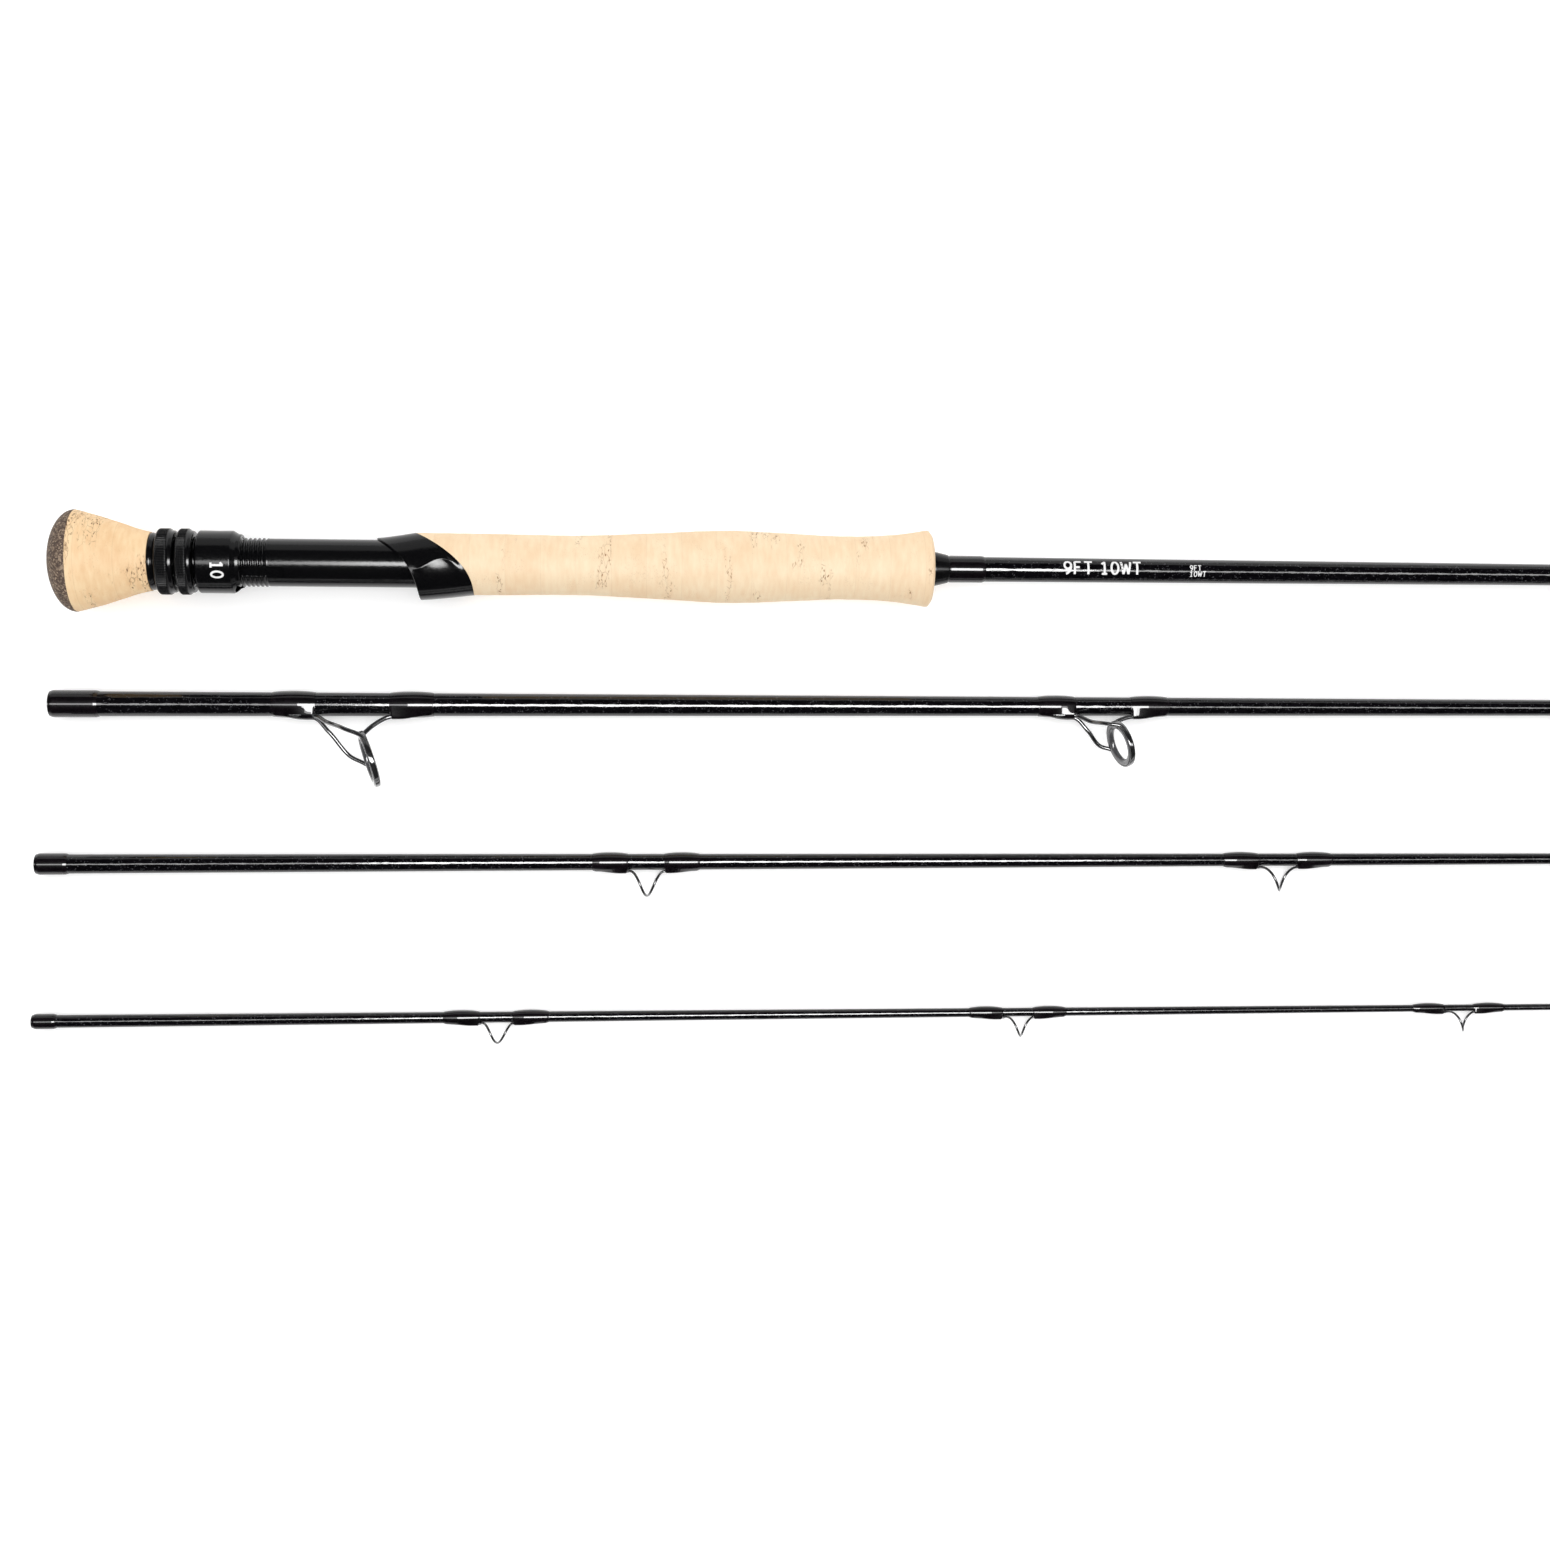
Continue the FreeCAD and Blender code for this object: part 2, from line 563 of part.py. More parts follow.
def make_sliding_hood():
    start, end, outer = dim("slider_start"), dim("slider_end"), dim("slider_radius")
    body = turned("sliding_hood", [
        (start, dim("nut_bore")),
        (start, f"{outer} - 0.5"),
        (f"{start} + 0.5", outer),
        (f"{end} - {dim('nose_length')}", outer),
        (f"{end} - {dim('nose_lip')}", dim("nose_radius")),
        (f"{end} - 0.2", f"{dim('nose_radius')} - 0.1"),
        (end, f"{dim('nose_radius')} - 0.3"),
        (end, dim("nut_bore")),
    ])
    cut_foot_pocket(body, "slider_pocket", dim("slider_floor"), f"{end} + 1")
    sketch = new_sketch(body, "window_outline", "XY_Plane", f"-{dim('window_floor')}")
    draw_circle(sketch, dim("window_at"), "0", dim("window_radius"))
    window = body.newObject("PartDesign::Pocket", "window")
    window.Profile = sketch
    window.Length = 3
    half = f"{dim('keyway_width')} * 0.5 - {dim('key_play')}"
    key = new_sketch(body, "key_outline", "YZ_Plane", start, dim("key_angle"))
    draw_outline(key, [
        (f"{dim('keyway_floor')} + {dim('key_play')}", f"-({half})"),
        (f"{dim('nut_bore')} + 0.6", f"-({half})"),
        (f"{dim('nut_bore')} + 0.6", half),
        (f"{dim('keyway_floor')} + {dim('key_play')}", half),
    ])
    along_axis(body, "key", "Pad", key, dim("key_length"))
    return body


def make_front_hood():
    gap = dim("glue_gap")
    rear, front, outer = dim("hood_rear"), dim("hood_front"), dim("hood_radius")
    body = new_body("front_hood")
    spin(body, "front_hood_turning", "Revolution", [
        (rear, "0"), (rear, outer), (front, outer), (front, "0"),
    ])
    loft(body, "front_hood_bulge", [
        (f"{rear} + 10", dim("hood_mouth_offset"), dim("hood_mouth_radius")),
        (front, dim("hood_neck_offset"), dim("hood_neck_radius")),
    ])
    bore_axis(body, "front_hood_bore", [
        (f"{rear} - 1", f"{dim('barrel_radius')} + {gap}"),
        (f"{front} + 1", f"{dim('barrel_radius')} + {gap}"),
    ])
    cut_foot_pocket(body, "front_hood_pocket", f"{rear} - 1", dim("hood_floor"))
    cut_slanted(body, "front_hood_rear_edge", "rear", f"{rear} - 5")
    cut_slanted(body, "front_hood_front_edge", "front", f"{front} + 5")
    return body


def make_grip():
    gap = dim("glue_gap")
    body = new_body("grip_cork")
    stations = [(dim(f"grip_{s}"), "0", dim(f"grip_{s}_radius")) for s in "abcdefghi"]
    loft(body, "grip_shape", stations)
    seat = f"{dim('barrel_radius')} + {gap}"
    bore_axis(body, "grip_bore", [
        (f"{dim('grip_a')} - 1", seat),
        (f"{dim('barrel_end')} + {gap}", seat),
        (f"{dim('barrel_end')} + {gap}", dim("arbor_bore")),
        (f"{dim('grip_i')} + 1", dim("arbor_bore")),
    ])
    cut_slanted(body, "grip_rear_edge", "front", f"{dim('grip_a')} - 5")
    return body


def make_winding_check():
    start = f"{dim('grip_i')} + {dim('glue_gap')}"
    bore = blank_radius("butt", dim("grip_i"), dim("glue_gap"))
    return turned("winding_check", [
        (start, bore),
        (start, dim("check_radius")),
        (f"{start} + 1.5", dim("check_radius")),
        (dim("check_end"), f"{dim('hosel_radius')} + 0.1"),
        (dim("check_end"), bore),
    ])


def make_hosel_wrap():
    start, end = f"{dim('check_end')} + {dim('glue_gap')}", dim("hosel_end")
    gap = dim("glue_gap")
    return turned("hosel_wrap", [
        (start, blank_radius("butt", start, gap)),
        (start, dim("hosel_radius")),
        (f"{end} - 1.5", dim("hosel_radius")),
        (end, blank_radius("butt", end, "0.1")),
        (end, blank_radius("butt", end, gap)),
    ])


# ---------------------------------------------------------------- guides


def wire(points, radius, feet=1):
    """Round wire along a smooth curve through points. Its first stretch, and its last one where
    there are two feet, is straight."""
    bent = points[1:-1] if feet == 2 else points[1:]
    tangents = {
        "InitialTangent": (points[1] - points[0]).normalize(),
        "FinalTangent": (points[-1] - points[-2]).normalize(),
    }
    curve = Part.BSplineCurve()
    curve.interpolate(Points=bent, **tangents)
    edges = [Part.makeLine(points[0], points[1]), curve.toShape()]
    if feet == 2:
        edges.append(Part.makeLine(points[-2], points[-1]))
    start = Part.Circle(points[0], points[1] - points[0], radius)
    return Part.Wire(edges).makePipeShell([Part.Wire([start.toShape()])], True, False)


def plain_feature(name, shape):
    feature = doc.addObject("Part::Feature", name)
    feature.Label = name
    feature.Shape = shape
    return feature


def make_snake(name, section, middle, wrap, gap, reach, thick):
    """One turn of wire between two straight feet, standing on the blank."""
    first, last = middle - gap / 2 - wrap, middle + gap / 2 + wrap
    foot = foot_height(section, middle - gap / 2 - wrap, thick)
    radius = (reach - thick - foot) / 2
    lap = 1.5
    points = [Vector(first + lap, 0, foot), Vector(middle - gap / 2, 0, foot)]
    for step in range(1, 8):
        angle = 2 * math.pi * step / 8
        along = middle + gap * 0.34 * (step - 4) / 3
        height = foot + radius * (1 - math.cos(angle))
        points.append(Vector(along, radius * math.sin(angle), height))
    points += [Vector(middle + gap / 2, 0, foot), Vector(last - lap, 0, foot)]
    return plain_feature(name, wire(points, thick, feet=2))


def ring_places(centre, above):
    """Centre and axis of a stripping guide's leaning ring."""
    lean = math.radians(value(dim("ring_lean")))
    return Vector(centre, 0, above), Vector(math.cos(lean), 0, -math.sin(lean))


def tube(centre, axis, depth, outer, inner):
    base = centre - axis * (depth / 2)
    return Part.makeCylinder(outer, depth, base, axis).cut(
        Part.makeCylinder(inner, depth, base, axis))


def make_stripper(name, section, rear, front, centre, above, outer):
    """Wire frame of a stripping guide: two legs from the rear foot to the sides of the ring,
    one leg from the front foot to the ring's edge nearest the blank."""
    thick, wall = value(dim("stripper_wire")), value(dim("holder_wall"))
    foot = foot_height(section, rear[0], thick)
    middle, axis = ring_places(centre, above)
    lean = Vector(-axis.z, 0, axis.x)
    holder = tube(middle, axis, value(dim("holder_depth")), outer, outer - wall)
    rim = outer - wall / 2
    lap = 1.5
    legs = []
    for side in (-1, 1):
        spread = thick * 1.02 * side
        joint = middle + Vector(0, rim * 0.97 * side, 0) - lean * (rim * 0.24)
        knee = Vector(rear[1] + 5, spread * 2.4, foot + 4.2)
        elbow = Vector((knee.x + joint.x) / 2, rim * 0.72 * side, (knee.z + joint.z) / 2 + 0.8)
        legs.append(wire([Vector(rear[0] + lap, spread, foot), Vector(rear[1] - 1, spread, foot),
                          knee, elbow, joint], thick * 0.9))
    near = middle - lean * rim
    bend = Vector(near.x + (front[0] - near.x) * 0.45, 0, foot + (near.z - foot) * 0.42)
    legs.append(wire([Vector(front[1] - lap, 0, foot), Vector(front[0] + 0.5, 0, foot), bend,
                      near], thick))
    frame = holder.multiFuse(legs).cut(tube_core(middle, axis, outer - wall))
    return plain_feature(name + "_frame", frame)


def tube_core(centre, axis, radius):
    return Part.makeCylinder(radius, 12, centre - axis * 6, axis)


def make_insert(name, centre, above, outer):
    """Ceramic ring seated in the frame, with a rounded bore."""
    middle, axis = ring_places(centre, above)
    radius = outer - value(dim("holder_wall")) - value(dim("glue_gap"))
    ring = tube(middle, axis, value(dim("insert_depth")), radius, radius - value(dim("insert_wall")))
    inner = [edge for edge in ring.Edges if abs(edge.Length - 2 * math.pi * (
        radius - value(dim("insert_wall")))) < 1e-3 and edge.Closed]
    return plain_feature(name + "_ring", ring.makeFillet(value(dim("insert_depth")) * 0.38, inner))


def make_tip_top():
    """Tube over the tip end with a wire loop standing on it."""
    length, blank = value(dim("section_length")), value(dim("tip_spigot"))
    start = length - value(dim("tip_land")) + 0.5
    end = length + 0.8
    outer, thick = value(dim("top_tube")), value(dim("top_wire"))
    sleeve = Part.makeCylinder(outer, end - start, Vector(start, 0, 0), Vector(1, 0, 0))
    hollow = Part.makeCylinder(blank + value(dim("glue_gap")), length - start + 0.05,
                               Vector(start, 0, 0), Vector(1, 0, 0))
    centre = Vector(length + value(dim("top_reach")), 0, value(dim("top_offset")))
    rim = value(dim("top_outer")) - thick
    loop = Part.makeTorus(rim, thick, centre, Vector(1, 0, -0.35))
    braces = []
    for side in (-1, 1):
        braces.append(wire([Vector(start + 3, side * (outer - thick * 0.4), outer * 0.6),
                            Vector(end - 1, side * (outer + 0.2), outer),
                            centre + Vector(-0.1, side * rim, 0)], thick * 0.85))
    braces.append(wire([Vector(end - 1.2, 0, 0.1), Vector(end + 1.5, 0, 0.0),
                        centre + Vector(-rim * 0.33, 0, -rim * 0.943)], thick * 0.85))
    return plain_feature("tip_top", sleeve.multiFuse([loop] + braces).cut(hollow))


# ---------------------------------------------------------------- the four sections


def make_butt_section():
    return [
        make_butt_cap(),
        make_fighting_butt(),
        make_end_collar(),
        make_barrel(),
        make_arbor("seat_arbor_rear", f"{dim('cork_end')} + 1"),
        make_arbor("seat_arbor_front", f"{dim('barrel_end')} - {dim('arbor_length')} - 1"),
        make_locking_ring("jam_ring", "jam"),
        make_locking_ring("lock_ring", "lock"),
        make_sliding_hood(),
        make_front_hood(),
        make_grip(),
        make_winding_check(),
        make_hosel_wrap(),
        make_blank("butt"),
    ]


def make_guided_section(section):
    """Blank, ferrule wrap and guides of one of the three upper sections."""
    coat = dim(f"{section}_coat")
    pieces = [
        make_blank(section),
        make_sleeve(f"ferrule_wrap_{section}", section, dim("wrap_lap"),
                    dim(f"{section}_ferrule_wrap"), coat),
    ]
    for name, where, rear, front, centre, above, outer in STRIPPERS:
        if where != section:
            continue
        thick = value(dim("stripper_wire"))
        foot = foot_height(section, rear[0], thick)
        pieces.append(make_stripper(name, section, rear, front, centre, above, outer))
        pieces.append(make_insert(name, centre, above, outer))
        pieces.append(make_wrap(f"{name}_rear_wrap", section, rear, foot, thick * 2, coat))
        pieces.append(make_wrap(f"{name}_front_wrap", section, front, foot, thick, coat))
    for name, where, middle, wrap, gap, reach, thick in SNAKES:
        if where != section:
            continue
        rear = (middle - gap / 2 - wrap, middle - gap / 2)
        front = (middle + gap / 2, middle + gap / 2 + wrap)
        foot = foot_height(section, rear[0], thick)
        pieces.append(make_snake(name, section, middle, wrap, gap, reach, thick))
        pieces.append(make_wrap(f"{name}_rear_wrap", section, rear, foot, thick, coat))
        pieces.append(make_wrap(f"{name}_front_wrap", section, front, foot, thick, coat))
    if section == "tip":
        pieces.append(make_tip_top())
    return pieces


def lay_down(section, pieces):
    """Roll the section over and lay it in its row, resting on its largest diameters."""
    place = Vector(
        value(dim("origin_x")) + value(dim(f"{section}_start")),
        value(dim("origin_y")) + value(dim(f"{section}_row")),
        value(dim(f"{section}_height")),
    )
    roll = Rotation(Vector(1, 0, 0), value(dim(f"{section}_roll")))
    pitch = Rotation(Vector(0, 1, 0), value(dim(f"{section}_pitch")))
    laid = Placement(place, pitch * roll)
    for piece in pieces:
        local = Placement()
        if piece.Label == "butt_cap":
            local = Placement(Vector(value(dim("cap_depth")), 0, 0), ALONG_X)
        piece.Placement = laid * local


def check(pieces):
    """Stop if anything in the document failed, or a sub-part isn't a valid solid."""
    for thing in doc.Objects:
        if "Invalid" in thing.State or "Error" in thing.State:
            raise RuntimeError(f"{thing.Name} failed: {thing.State}")
    for piece in pieces:
        shape = piece.Shape
        if shape.isNull() or not shape.isValid() or shape.Volume <= 0 or len(shape.Solids) != 1:
            raise RuntimeError(f"{piece.Label} isn't one valid solid: {len(shape.Solids)}")


def export(pieces):
    os.makedirs("parts", exist_ok=True)
    for piece in pieces:
        if len(piece.Label) >= LABEL_LIMIT:
            raise RuntimeError(f"{piece.Label} is too long a name")
        piece.Shape.exportStep(f"parts/{piece.Label}.step")


def main():
    fill_sheet()
    pieces = []
    for section in SECTIONS:
        made = make_butt_section() if section == "butt" else make_guided_section(section)
        doc.recompute()
        lay_down(section, made)
        pieces += made
    doc.recompute()
    check(pieces)
    export(pieces)
    whole = FreeCAD.BoundBox()
    for piece in pieces:
        box = piece.Shape.optimalBoundingBox(False)
        whole.add(box)
    print(len(pieces), "sub-parts", whole)


main()
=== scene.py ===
import json
import math

import bpy
import numpy as np
from bpy.props import FloatProperty, FloatVectorProperty, IntProperty, PointerProperty
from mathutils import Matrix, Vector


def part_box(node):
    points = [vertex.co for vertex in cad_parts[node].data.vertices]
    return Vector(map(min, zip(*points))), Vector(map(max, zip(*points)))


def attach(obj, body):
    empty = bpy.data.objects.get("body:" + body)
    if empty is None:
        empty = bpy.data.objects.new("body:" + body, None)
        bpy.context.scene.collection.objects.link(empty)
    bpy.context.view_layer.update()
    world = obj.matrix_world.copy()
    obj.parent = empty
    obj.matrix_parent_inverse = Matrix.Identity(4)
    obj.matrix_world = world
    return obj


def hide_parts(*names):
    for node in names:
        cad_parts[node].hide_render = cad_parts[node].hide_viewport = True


bl_info = {
    "name": "Fly Rod",
    "version": (1, 0, 0),
    "blender": (4, 5, 0),
    "location": "3D View > Sidebar > Fly Rod",
    "description": "Four-piece fly rod: corks, reel seat, blanks, guides and a plain stage",
    "category": "Object",
}

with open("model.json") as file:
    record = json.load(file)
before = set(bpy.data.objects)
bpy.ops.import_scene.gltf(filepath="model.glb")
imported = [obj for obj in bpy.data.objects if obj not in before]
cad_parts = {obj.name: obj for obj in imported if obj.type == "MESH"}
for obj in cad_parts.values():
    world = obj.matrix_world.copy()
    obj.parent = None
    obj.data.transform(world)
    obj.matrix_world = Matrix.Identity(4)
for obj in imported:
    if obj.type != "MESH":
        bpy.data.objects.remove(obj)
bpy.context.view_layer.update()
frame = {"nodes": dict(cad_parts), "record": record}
MM = 0.001
TURN = 2 * math.pi
# Places along a section are measured in millimetres from its butt end. Angles go round its axis
# from the reel or guide side, first towards the side that faces up on the butt section.
ROLLS = {"butt": 90.0, "lower": 58.0, "upper": 77.0, "tip": 62.0}
ROOTS = {"butt": 5.53, "lower": 4.66, "upper": 3.58, "tip": 2.37}
SPIGOTS = {"butt": 3.75, "lower": 2.78, "upper": 1.82, "tip": 0.90}
LANDS = {"butt": 60.0, "lower": 55.0, "upper": 45.0, "tip": 12.0}
COATS = {"lower": 0.36, "upper": 0.38, "tip": 0.42}
FERRULE_WRAPS = {"lower": 17.5, "upper": 11.5, "tip": 8.7}
BEFORE = {"lower": "butt", "upper": "lower", "tip": "upper"}
SECTION_LENGTH = 724.0
SOCKET_SPARE = 4.0
# Gap under what lies on a blank, so that no two surfaces share a place.
CLEAR = 0.02
# Bore of the corks that sit straight on the butt blank.
CORK_BORE = 5.52
GRIP_START_RADIUS = 11.2
FIGHTING_BUTT = ((9.4, 18.2), (18.2, 15.8), (26.1, 13.25), (32.4, 11.2), (35.6, 10.5))
GRIP = ((118.0, 11.2), (156.0, 11.1), (189.3, 10.85), (216.2, 12.0), (243.4, 13.2),
        (264.0, 12.45), (284.5, 11.6), (305.3, 12.5), (317.3, 14.35))
# name, section, rear wrap's ends, front wrap's ends, ring centre along and above, ring radius
STRIPPERS = (
    ("stripping_guide_large", "lower", (79.3, 95.2), (122.0, 138.0), 115.8, 23.8, 10.7),
    ("stripping_guide_small", "lower", (363.6, 377.8), (399.0, 413.6), 393.4, 16.8, 9.0),
)
# name, section, middle, wrap length, gap between wraps, reach from the axis, wire radius
SNAKES = (
    ("snake_guide_1", "lower", 628.0, 13.0, 13.4, 13.3, 0.50),
    ("snake_guide_2", "upper", 221.3, 13.3, 13.4, 13.2, 0.50),
    ("snake_guide_3", "upper", 461.9, 13.6, 15.0, 12.4, 0.50),
    ("snake_guide_4", "upper", 640.0, 12.6, 13.0, 11.0, 0.47),
    ("snake_guide_5", "tip", 167.6, 13.4, 12.0, 10.3, 0.45),
    ("snake_guide_6", "tip", 363.3, 12.8, 11.5, 9.8, 0.43),
    ("snake_guide_7", "tip", 535.5, 12.4, 11.5, 9.6, 0.42),
    ("snake_guide_8", "tip", 636.0, 11.0, 10.5, 9.0, 0.40),
)


# ---------------------------------------------------------------- section frames


def section_frame(section):
    """Origin and the three directions of a section: along it, to its side, and up to its guides.
    The axis comes from the row's mounts, and the turn about it from the section's roll."""
    mounts = {mount["name"]: mount for mount in frame["record"]["mounts"]}
    if section == "butt":
        mount, at = mounts["butt_spigot"], SECTION_LENGTH - LANDS["butt"] / 2
        along = np.array(mount["axis"], float)
    else:
        mount = mounts[f"{section}_socket"]
        at = (LANDS[BEFORE[section]] + SOCKET_SPARE) / 2
        along = -np.array(mount["axis"], float)
    roll = math.radians(ROLLS[section])
    level_side = np.array((0.0, 1.0, 0.0))
    level_up = np.cross(along, level_side)
    side = level_side * math.cos(roll) + level_up * math.sin(roll)
    up = level_up * math.cos(roll) - level_side * math.sin(roll)
    return np.array(mount["pos_m"], float) - along * at * MM, np.stack((along, side, up))


FRAMES = {section: section_frame(section) for section in ROLLS}


def laid(section, points):
    """Section coordinates in millimetres to the row frame in metres."""
    origin, directions = FRAMES[section]
    return origin + (np.asarray(points, float) * MM) @ directions


def blank_radius(section, along):
    """Straight taper from the root radius to the spigot radius, which then stays."""
    taper_end = SECTION_LENGTH - LANDS[section]
    share = np.clip(np.asarray(along, float) / taper_end, 0.0, 1.0)
    return ROOTS[section] + (SPIGOTS[section] - ROOTS[section]) * share


def hermite(stations, places):
    """Smooth curve through (place, height) stations: cubic Hermite spans whose slopes are the
    mean slopes of the neighbouring stations."""
    knots, heights = np.array(stations, float).T
    slopes = np.gradient(heights, knots)
    span = np.clip(np.searchsorted(knots, places, side="right") - 1, 0, len(knots) - 2)
    width = knots[span + 1] - knots[span]
    s = (places - knots[span]) / width
    return (heights[span] * (2 * s**3 - 3 * s**2 + 1)
            + slopes[span] * width * (s**3 - 2 * s**2 + s)
            + heights[span + 1] * (3 * s**2 - 2 * s**3)
            + slopes[span + 1] * width * (s**3 - s**2))


# ---------------------------------------------------------------- surfaces


def rise(value, start, end):
    """Smoothstep from 0 at start to 1 at end."""
    s = np.clip((value - start) / (end - start), 0.0, 1.0)
    return s * s * (3 - 2 * s)


def around(count):
    """Angles that divide a full turn evenly."""
    return np.linspace(0.0, TURN, count, endpoint=False)


def round_points(along, angle, radius):
    """Points at places along the axis, angles round it and radii from it: to the side radius
    times the sine, towards the guides radius times the cosine."""
    along, angle, radius = np.broadcast_arrays(along, angle, radius)
    return np.stack((along, radius * np.sin(angle), radius * np.cos(angle)), axis=-1)


def shell(grid, ring=False):
    """Closed shell from a grid of points. Columns close round. Rows close round too if ring is
    set, and otherwise each end row is closed by a fan to its middle. Faces point outwards: their
    signed volume, the sum of corner triple products, is made positive."""
    rows, columns = grid.shape[:2]
    points = grid.reshape(-1, 3)
    row = np.arange(rows if ring else rows - 1)[:, None]
    column = np.arange(columns)[None, :]
    following = (column + 1) % columns
    below = (row + 1) % rows
    quads = np.stack((row * columns + column, row * columns + following,
                      below * columns + following, below * columns + column), axis=-1)
    faces = quads.reshape(-1, 4)
    fans = np.empty((0, 3), int)
    if not ring:
        points = np.vstack((points, grid[0].mean(axis=0), grid[-1].mean(axis=0)))
        first, last = rows * columns, rows * columns + 1
        edge, beyond = column[0], following[0]
        base = (rows - 1) * columns
        fans = np.vstack((np.stack((beyond, edge, np.full(columns, first)), axis=-1),
                          np.stack((base + edge, base + beyond, np.full(columns, last)), axis=-1)))
    a, b, c, d = (points[faces[:, i]] for i in range(4))
    volume = np.sum(a * np.cross(b, c)) + np.sum(a * np.cross(c, d))
    if len(fans):
        e, f, g = (points[fans[:, i]] for i in range(3))
        volume += np.sum(e * np.cross(f, g))
    if volume < 0:
        faces, fans = faces[:, ::-1], fans[:, ::-1]
    return points, faces, fans


def lathe(section, outline, columns=96, swell=None):
    """Ring of revolution: a closed outline of (along, radius) points carried round the axis.
    swell(along, angle, radius) may change the radius from place to place."""
    along, radius = np.array(outline, float).T
    along, turn = np.meshgrid(along, around(columns), indexing="ij")
    radius = np.repeat(radius[:, None], columns, axis=1)
    if swell:
        radius = swell(along, turn, radius)
    return shell(laid(section, round_points(along, turn, radius)), ring=True)


def wire(section, path, radius, away, columns=20):
    """Tube along a path: circles across its tangent, started from the direction away, one for
    the path or one for each point, which never lies along the path."""
    path = np.asarray(path, float)
    away = np.broadcast_to(away, path.shape)
    tangent = np.gradient(path, axis=0)
    tangent /= np.linalg.norm(tangent, axis=1, keepdims=True)
    out = away - tangent * np.sum(away * tangent, axis=1, keepdims=True)
    out /= np.linalg.norm(out, axis=1, keepdims=True)
    across = np.cross(tangent, out)
    angle = around(columns)[None, :, None]
    radius = np.broadcast_to(np.asarray(radius, float), (len(path),))[:, None, None]
    ring = out[:, None, :] * np.cos(angle) + across[:, None, :] * np.sin(angle)
    return shell(laid(section, path[:, None, :] + ring * radius))


def bent(points, count=80):
    """Smooth path through a few points, a Hermite curve of each coordinate over chord length."""
    points = np.array(points, float)
    reach = np.concatenate(([0.0], np.cumsum(np.linalg.norm(np.diff(points, axis=0), axis=1))))
    places = np.linspace(0.0, reach[-1], count)
    return np.stack([hermite(np.stack((reach, points[:, i]), axis=1), places)
                     for i in range(3)], axis=-1)


def eased(corners, radius, steps=5):
    """Closed outline with each corner rounded: a quadratic arc between the points that lie radius
    before and after it, or half way along a shorter side."""
    corners = np.array(corners, float)
    before = np.roll(corners, 1, axis=0) - corners
    after = np.roll(corners, -1, axis=0) - corners
    lengths = [np.linalg.norm(side, axis=1, keepdims=True) for side in (before, after)]
    start = corners + before * np.minimum(radius / lengths[0], 0.45)
    end = corners + after * np.minimum(radius / lengths[1], 0.45)
    s = np.linspace(0.0, 1.0, steps)[None, :, None]
    arcs = (start[:, None] * (1 - s) ** 2 + corners[:, None] * 2 * s * (1 - s)
            + end[:, None] * s**2)
    return arcs.reshape(-1, 2)


def piece(name, shells, body, replaces, slot, finish=None, sharp=38.0):
    """One object from one or more shells, on its body and in place of its CAD node. Its finish
    is the slot's own unless another is named. Edges over sharp degrees stay crisp."""
    points, faces, start = [], [], 0
    for shell_points, quads, fans in shells:
        points.append(shell_points)
        faces += (quads + start).tolist() + (fans + start).tolist()
        start += len(shell_points)
    mesh = bpy.data.meshes.new(name)
    mesh.from_pydata(np.vstack(points).tolist(), [], faces)
    mesh.shade_smooth()
    mesh.set_sharp_from_angle(angle=math.radians(sharp))
    mesh.materials.append(FINISHES[finish or slot])
    thing = bpy.data.objects.new(name, mesh)
    bpy.context.scene.collection.objects.link(thing)
    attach(thing, body)
    if replaces:
        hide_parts(*replaces)


# ---------------------------------------------------------------- nodes and finishes

FINISHES = {}
# Width in metres of one of the glued rings that corks are turned from.
CORK_RING = 0.0127


def add_node(tree, kind, inputs=None, **settings):
    """A node with its settings. Inputs are numbers, colours, or other nodes' output sockets."""
    node = tree.nodes.new(kind)
    for name, setting in settings.items():
        setattr(node, name, setting)
    for key, given in (inputs or {}).items():
        if isinstance(given, bpy.types.NodeSocket):
            tree.links.new(given, node.inputs[key])
        else:
            node.inputs[key].default_value = given
    return node


def ramp(tree, factor, stops):
    """The colours at their places along a factor, blended between."""
    node = add_node(tree, "ShaderNodeValToRGB", {"Fac": factor})
    elements = node.color_ramp.elements
    while len(elements) < len(stops):
        elements.new(1.0)
    for element, (place, colour) in zip(elements, stops):
        element.position = place
        element.color = colour
    return node.outputs["Color"]


def grey(level):
    return (level, level, level, 1.0)


def rgba(colour, share=1.0):
    """An opaque colour, darkened or brightened to a share of itself."""
    return (*(part * share for part in colour), 1.0)


def new_finish(name, **numbers):
    """A material with a Principled shader, whose plain numbers are set on its own sockets."""
    material = bpy.data.materials.new(name)
    material.use_nodes = True
    tree = material.node_tree
    shader = tree.nodes["Principled BSDF"]
    for socket, number in numbers.items():
        shader.inputs[socket.replace("_", " ")].default_value = number
    place = add_node(tree, "ShaderNodeTexCoord").outputs["Object"]
    return material, tree, shader, place


def new_group(name, inputs, outputs):
    """Empty node group. Inputs and outputs are (name, socket type, default) and (name, type)."""
    group = bpy.data.node_groups.new(name, "ShaderNodeTree")
    for label, kind, default in inputs:
        socket = group.interface.new_socket(label, in_out="INPUT", socket_type=kind)
        if default is not None:
            socket.default_value = default
    for label, kind in outputs:
        group.interface.new_socket(label, in_out="OUTPUT", socket_type=kind)
    entry = group.nodes.new("NodeGroupInput")
    leave = group.nodes.new("NodeGroupOutput")
    return group, entry, leave


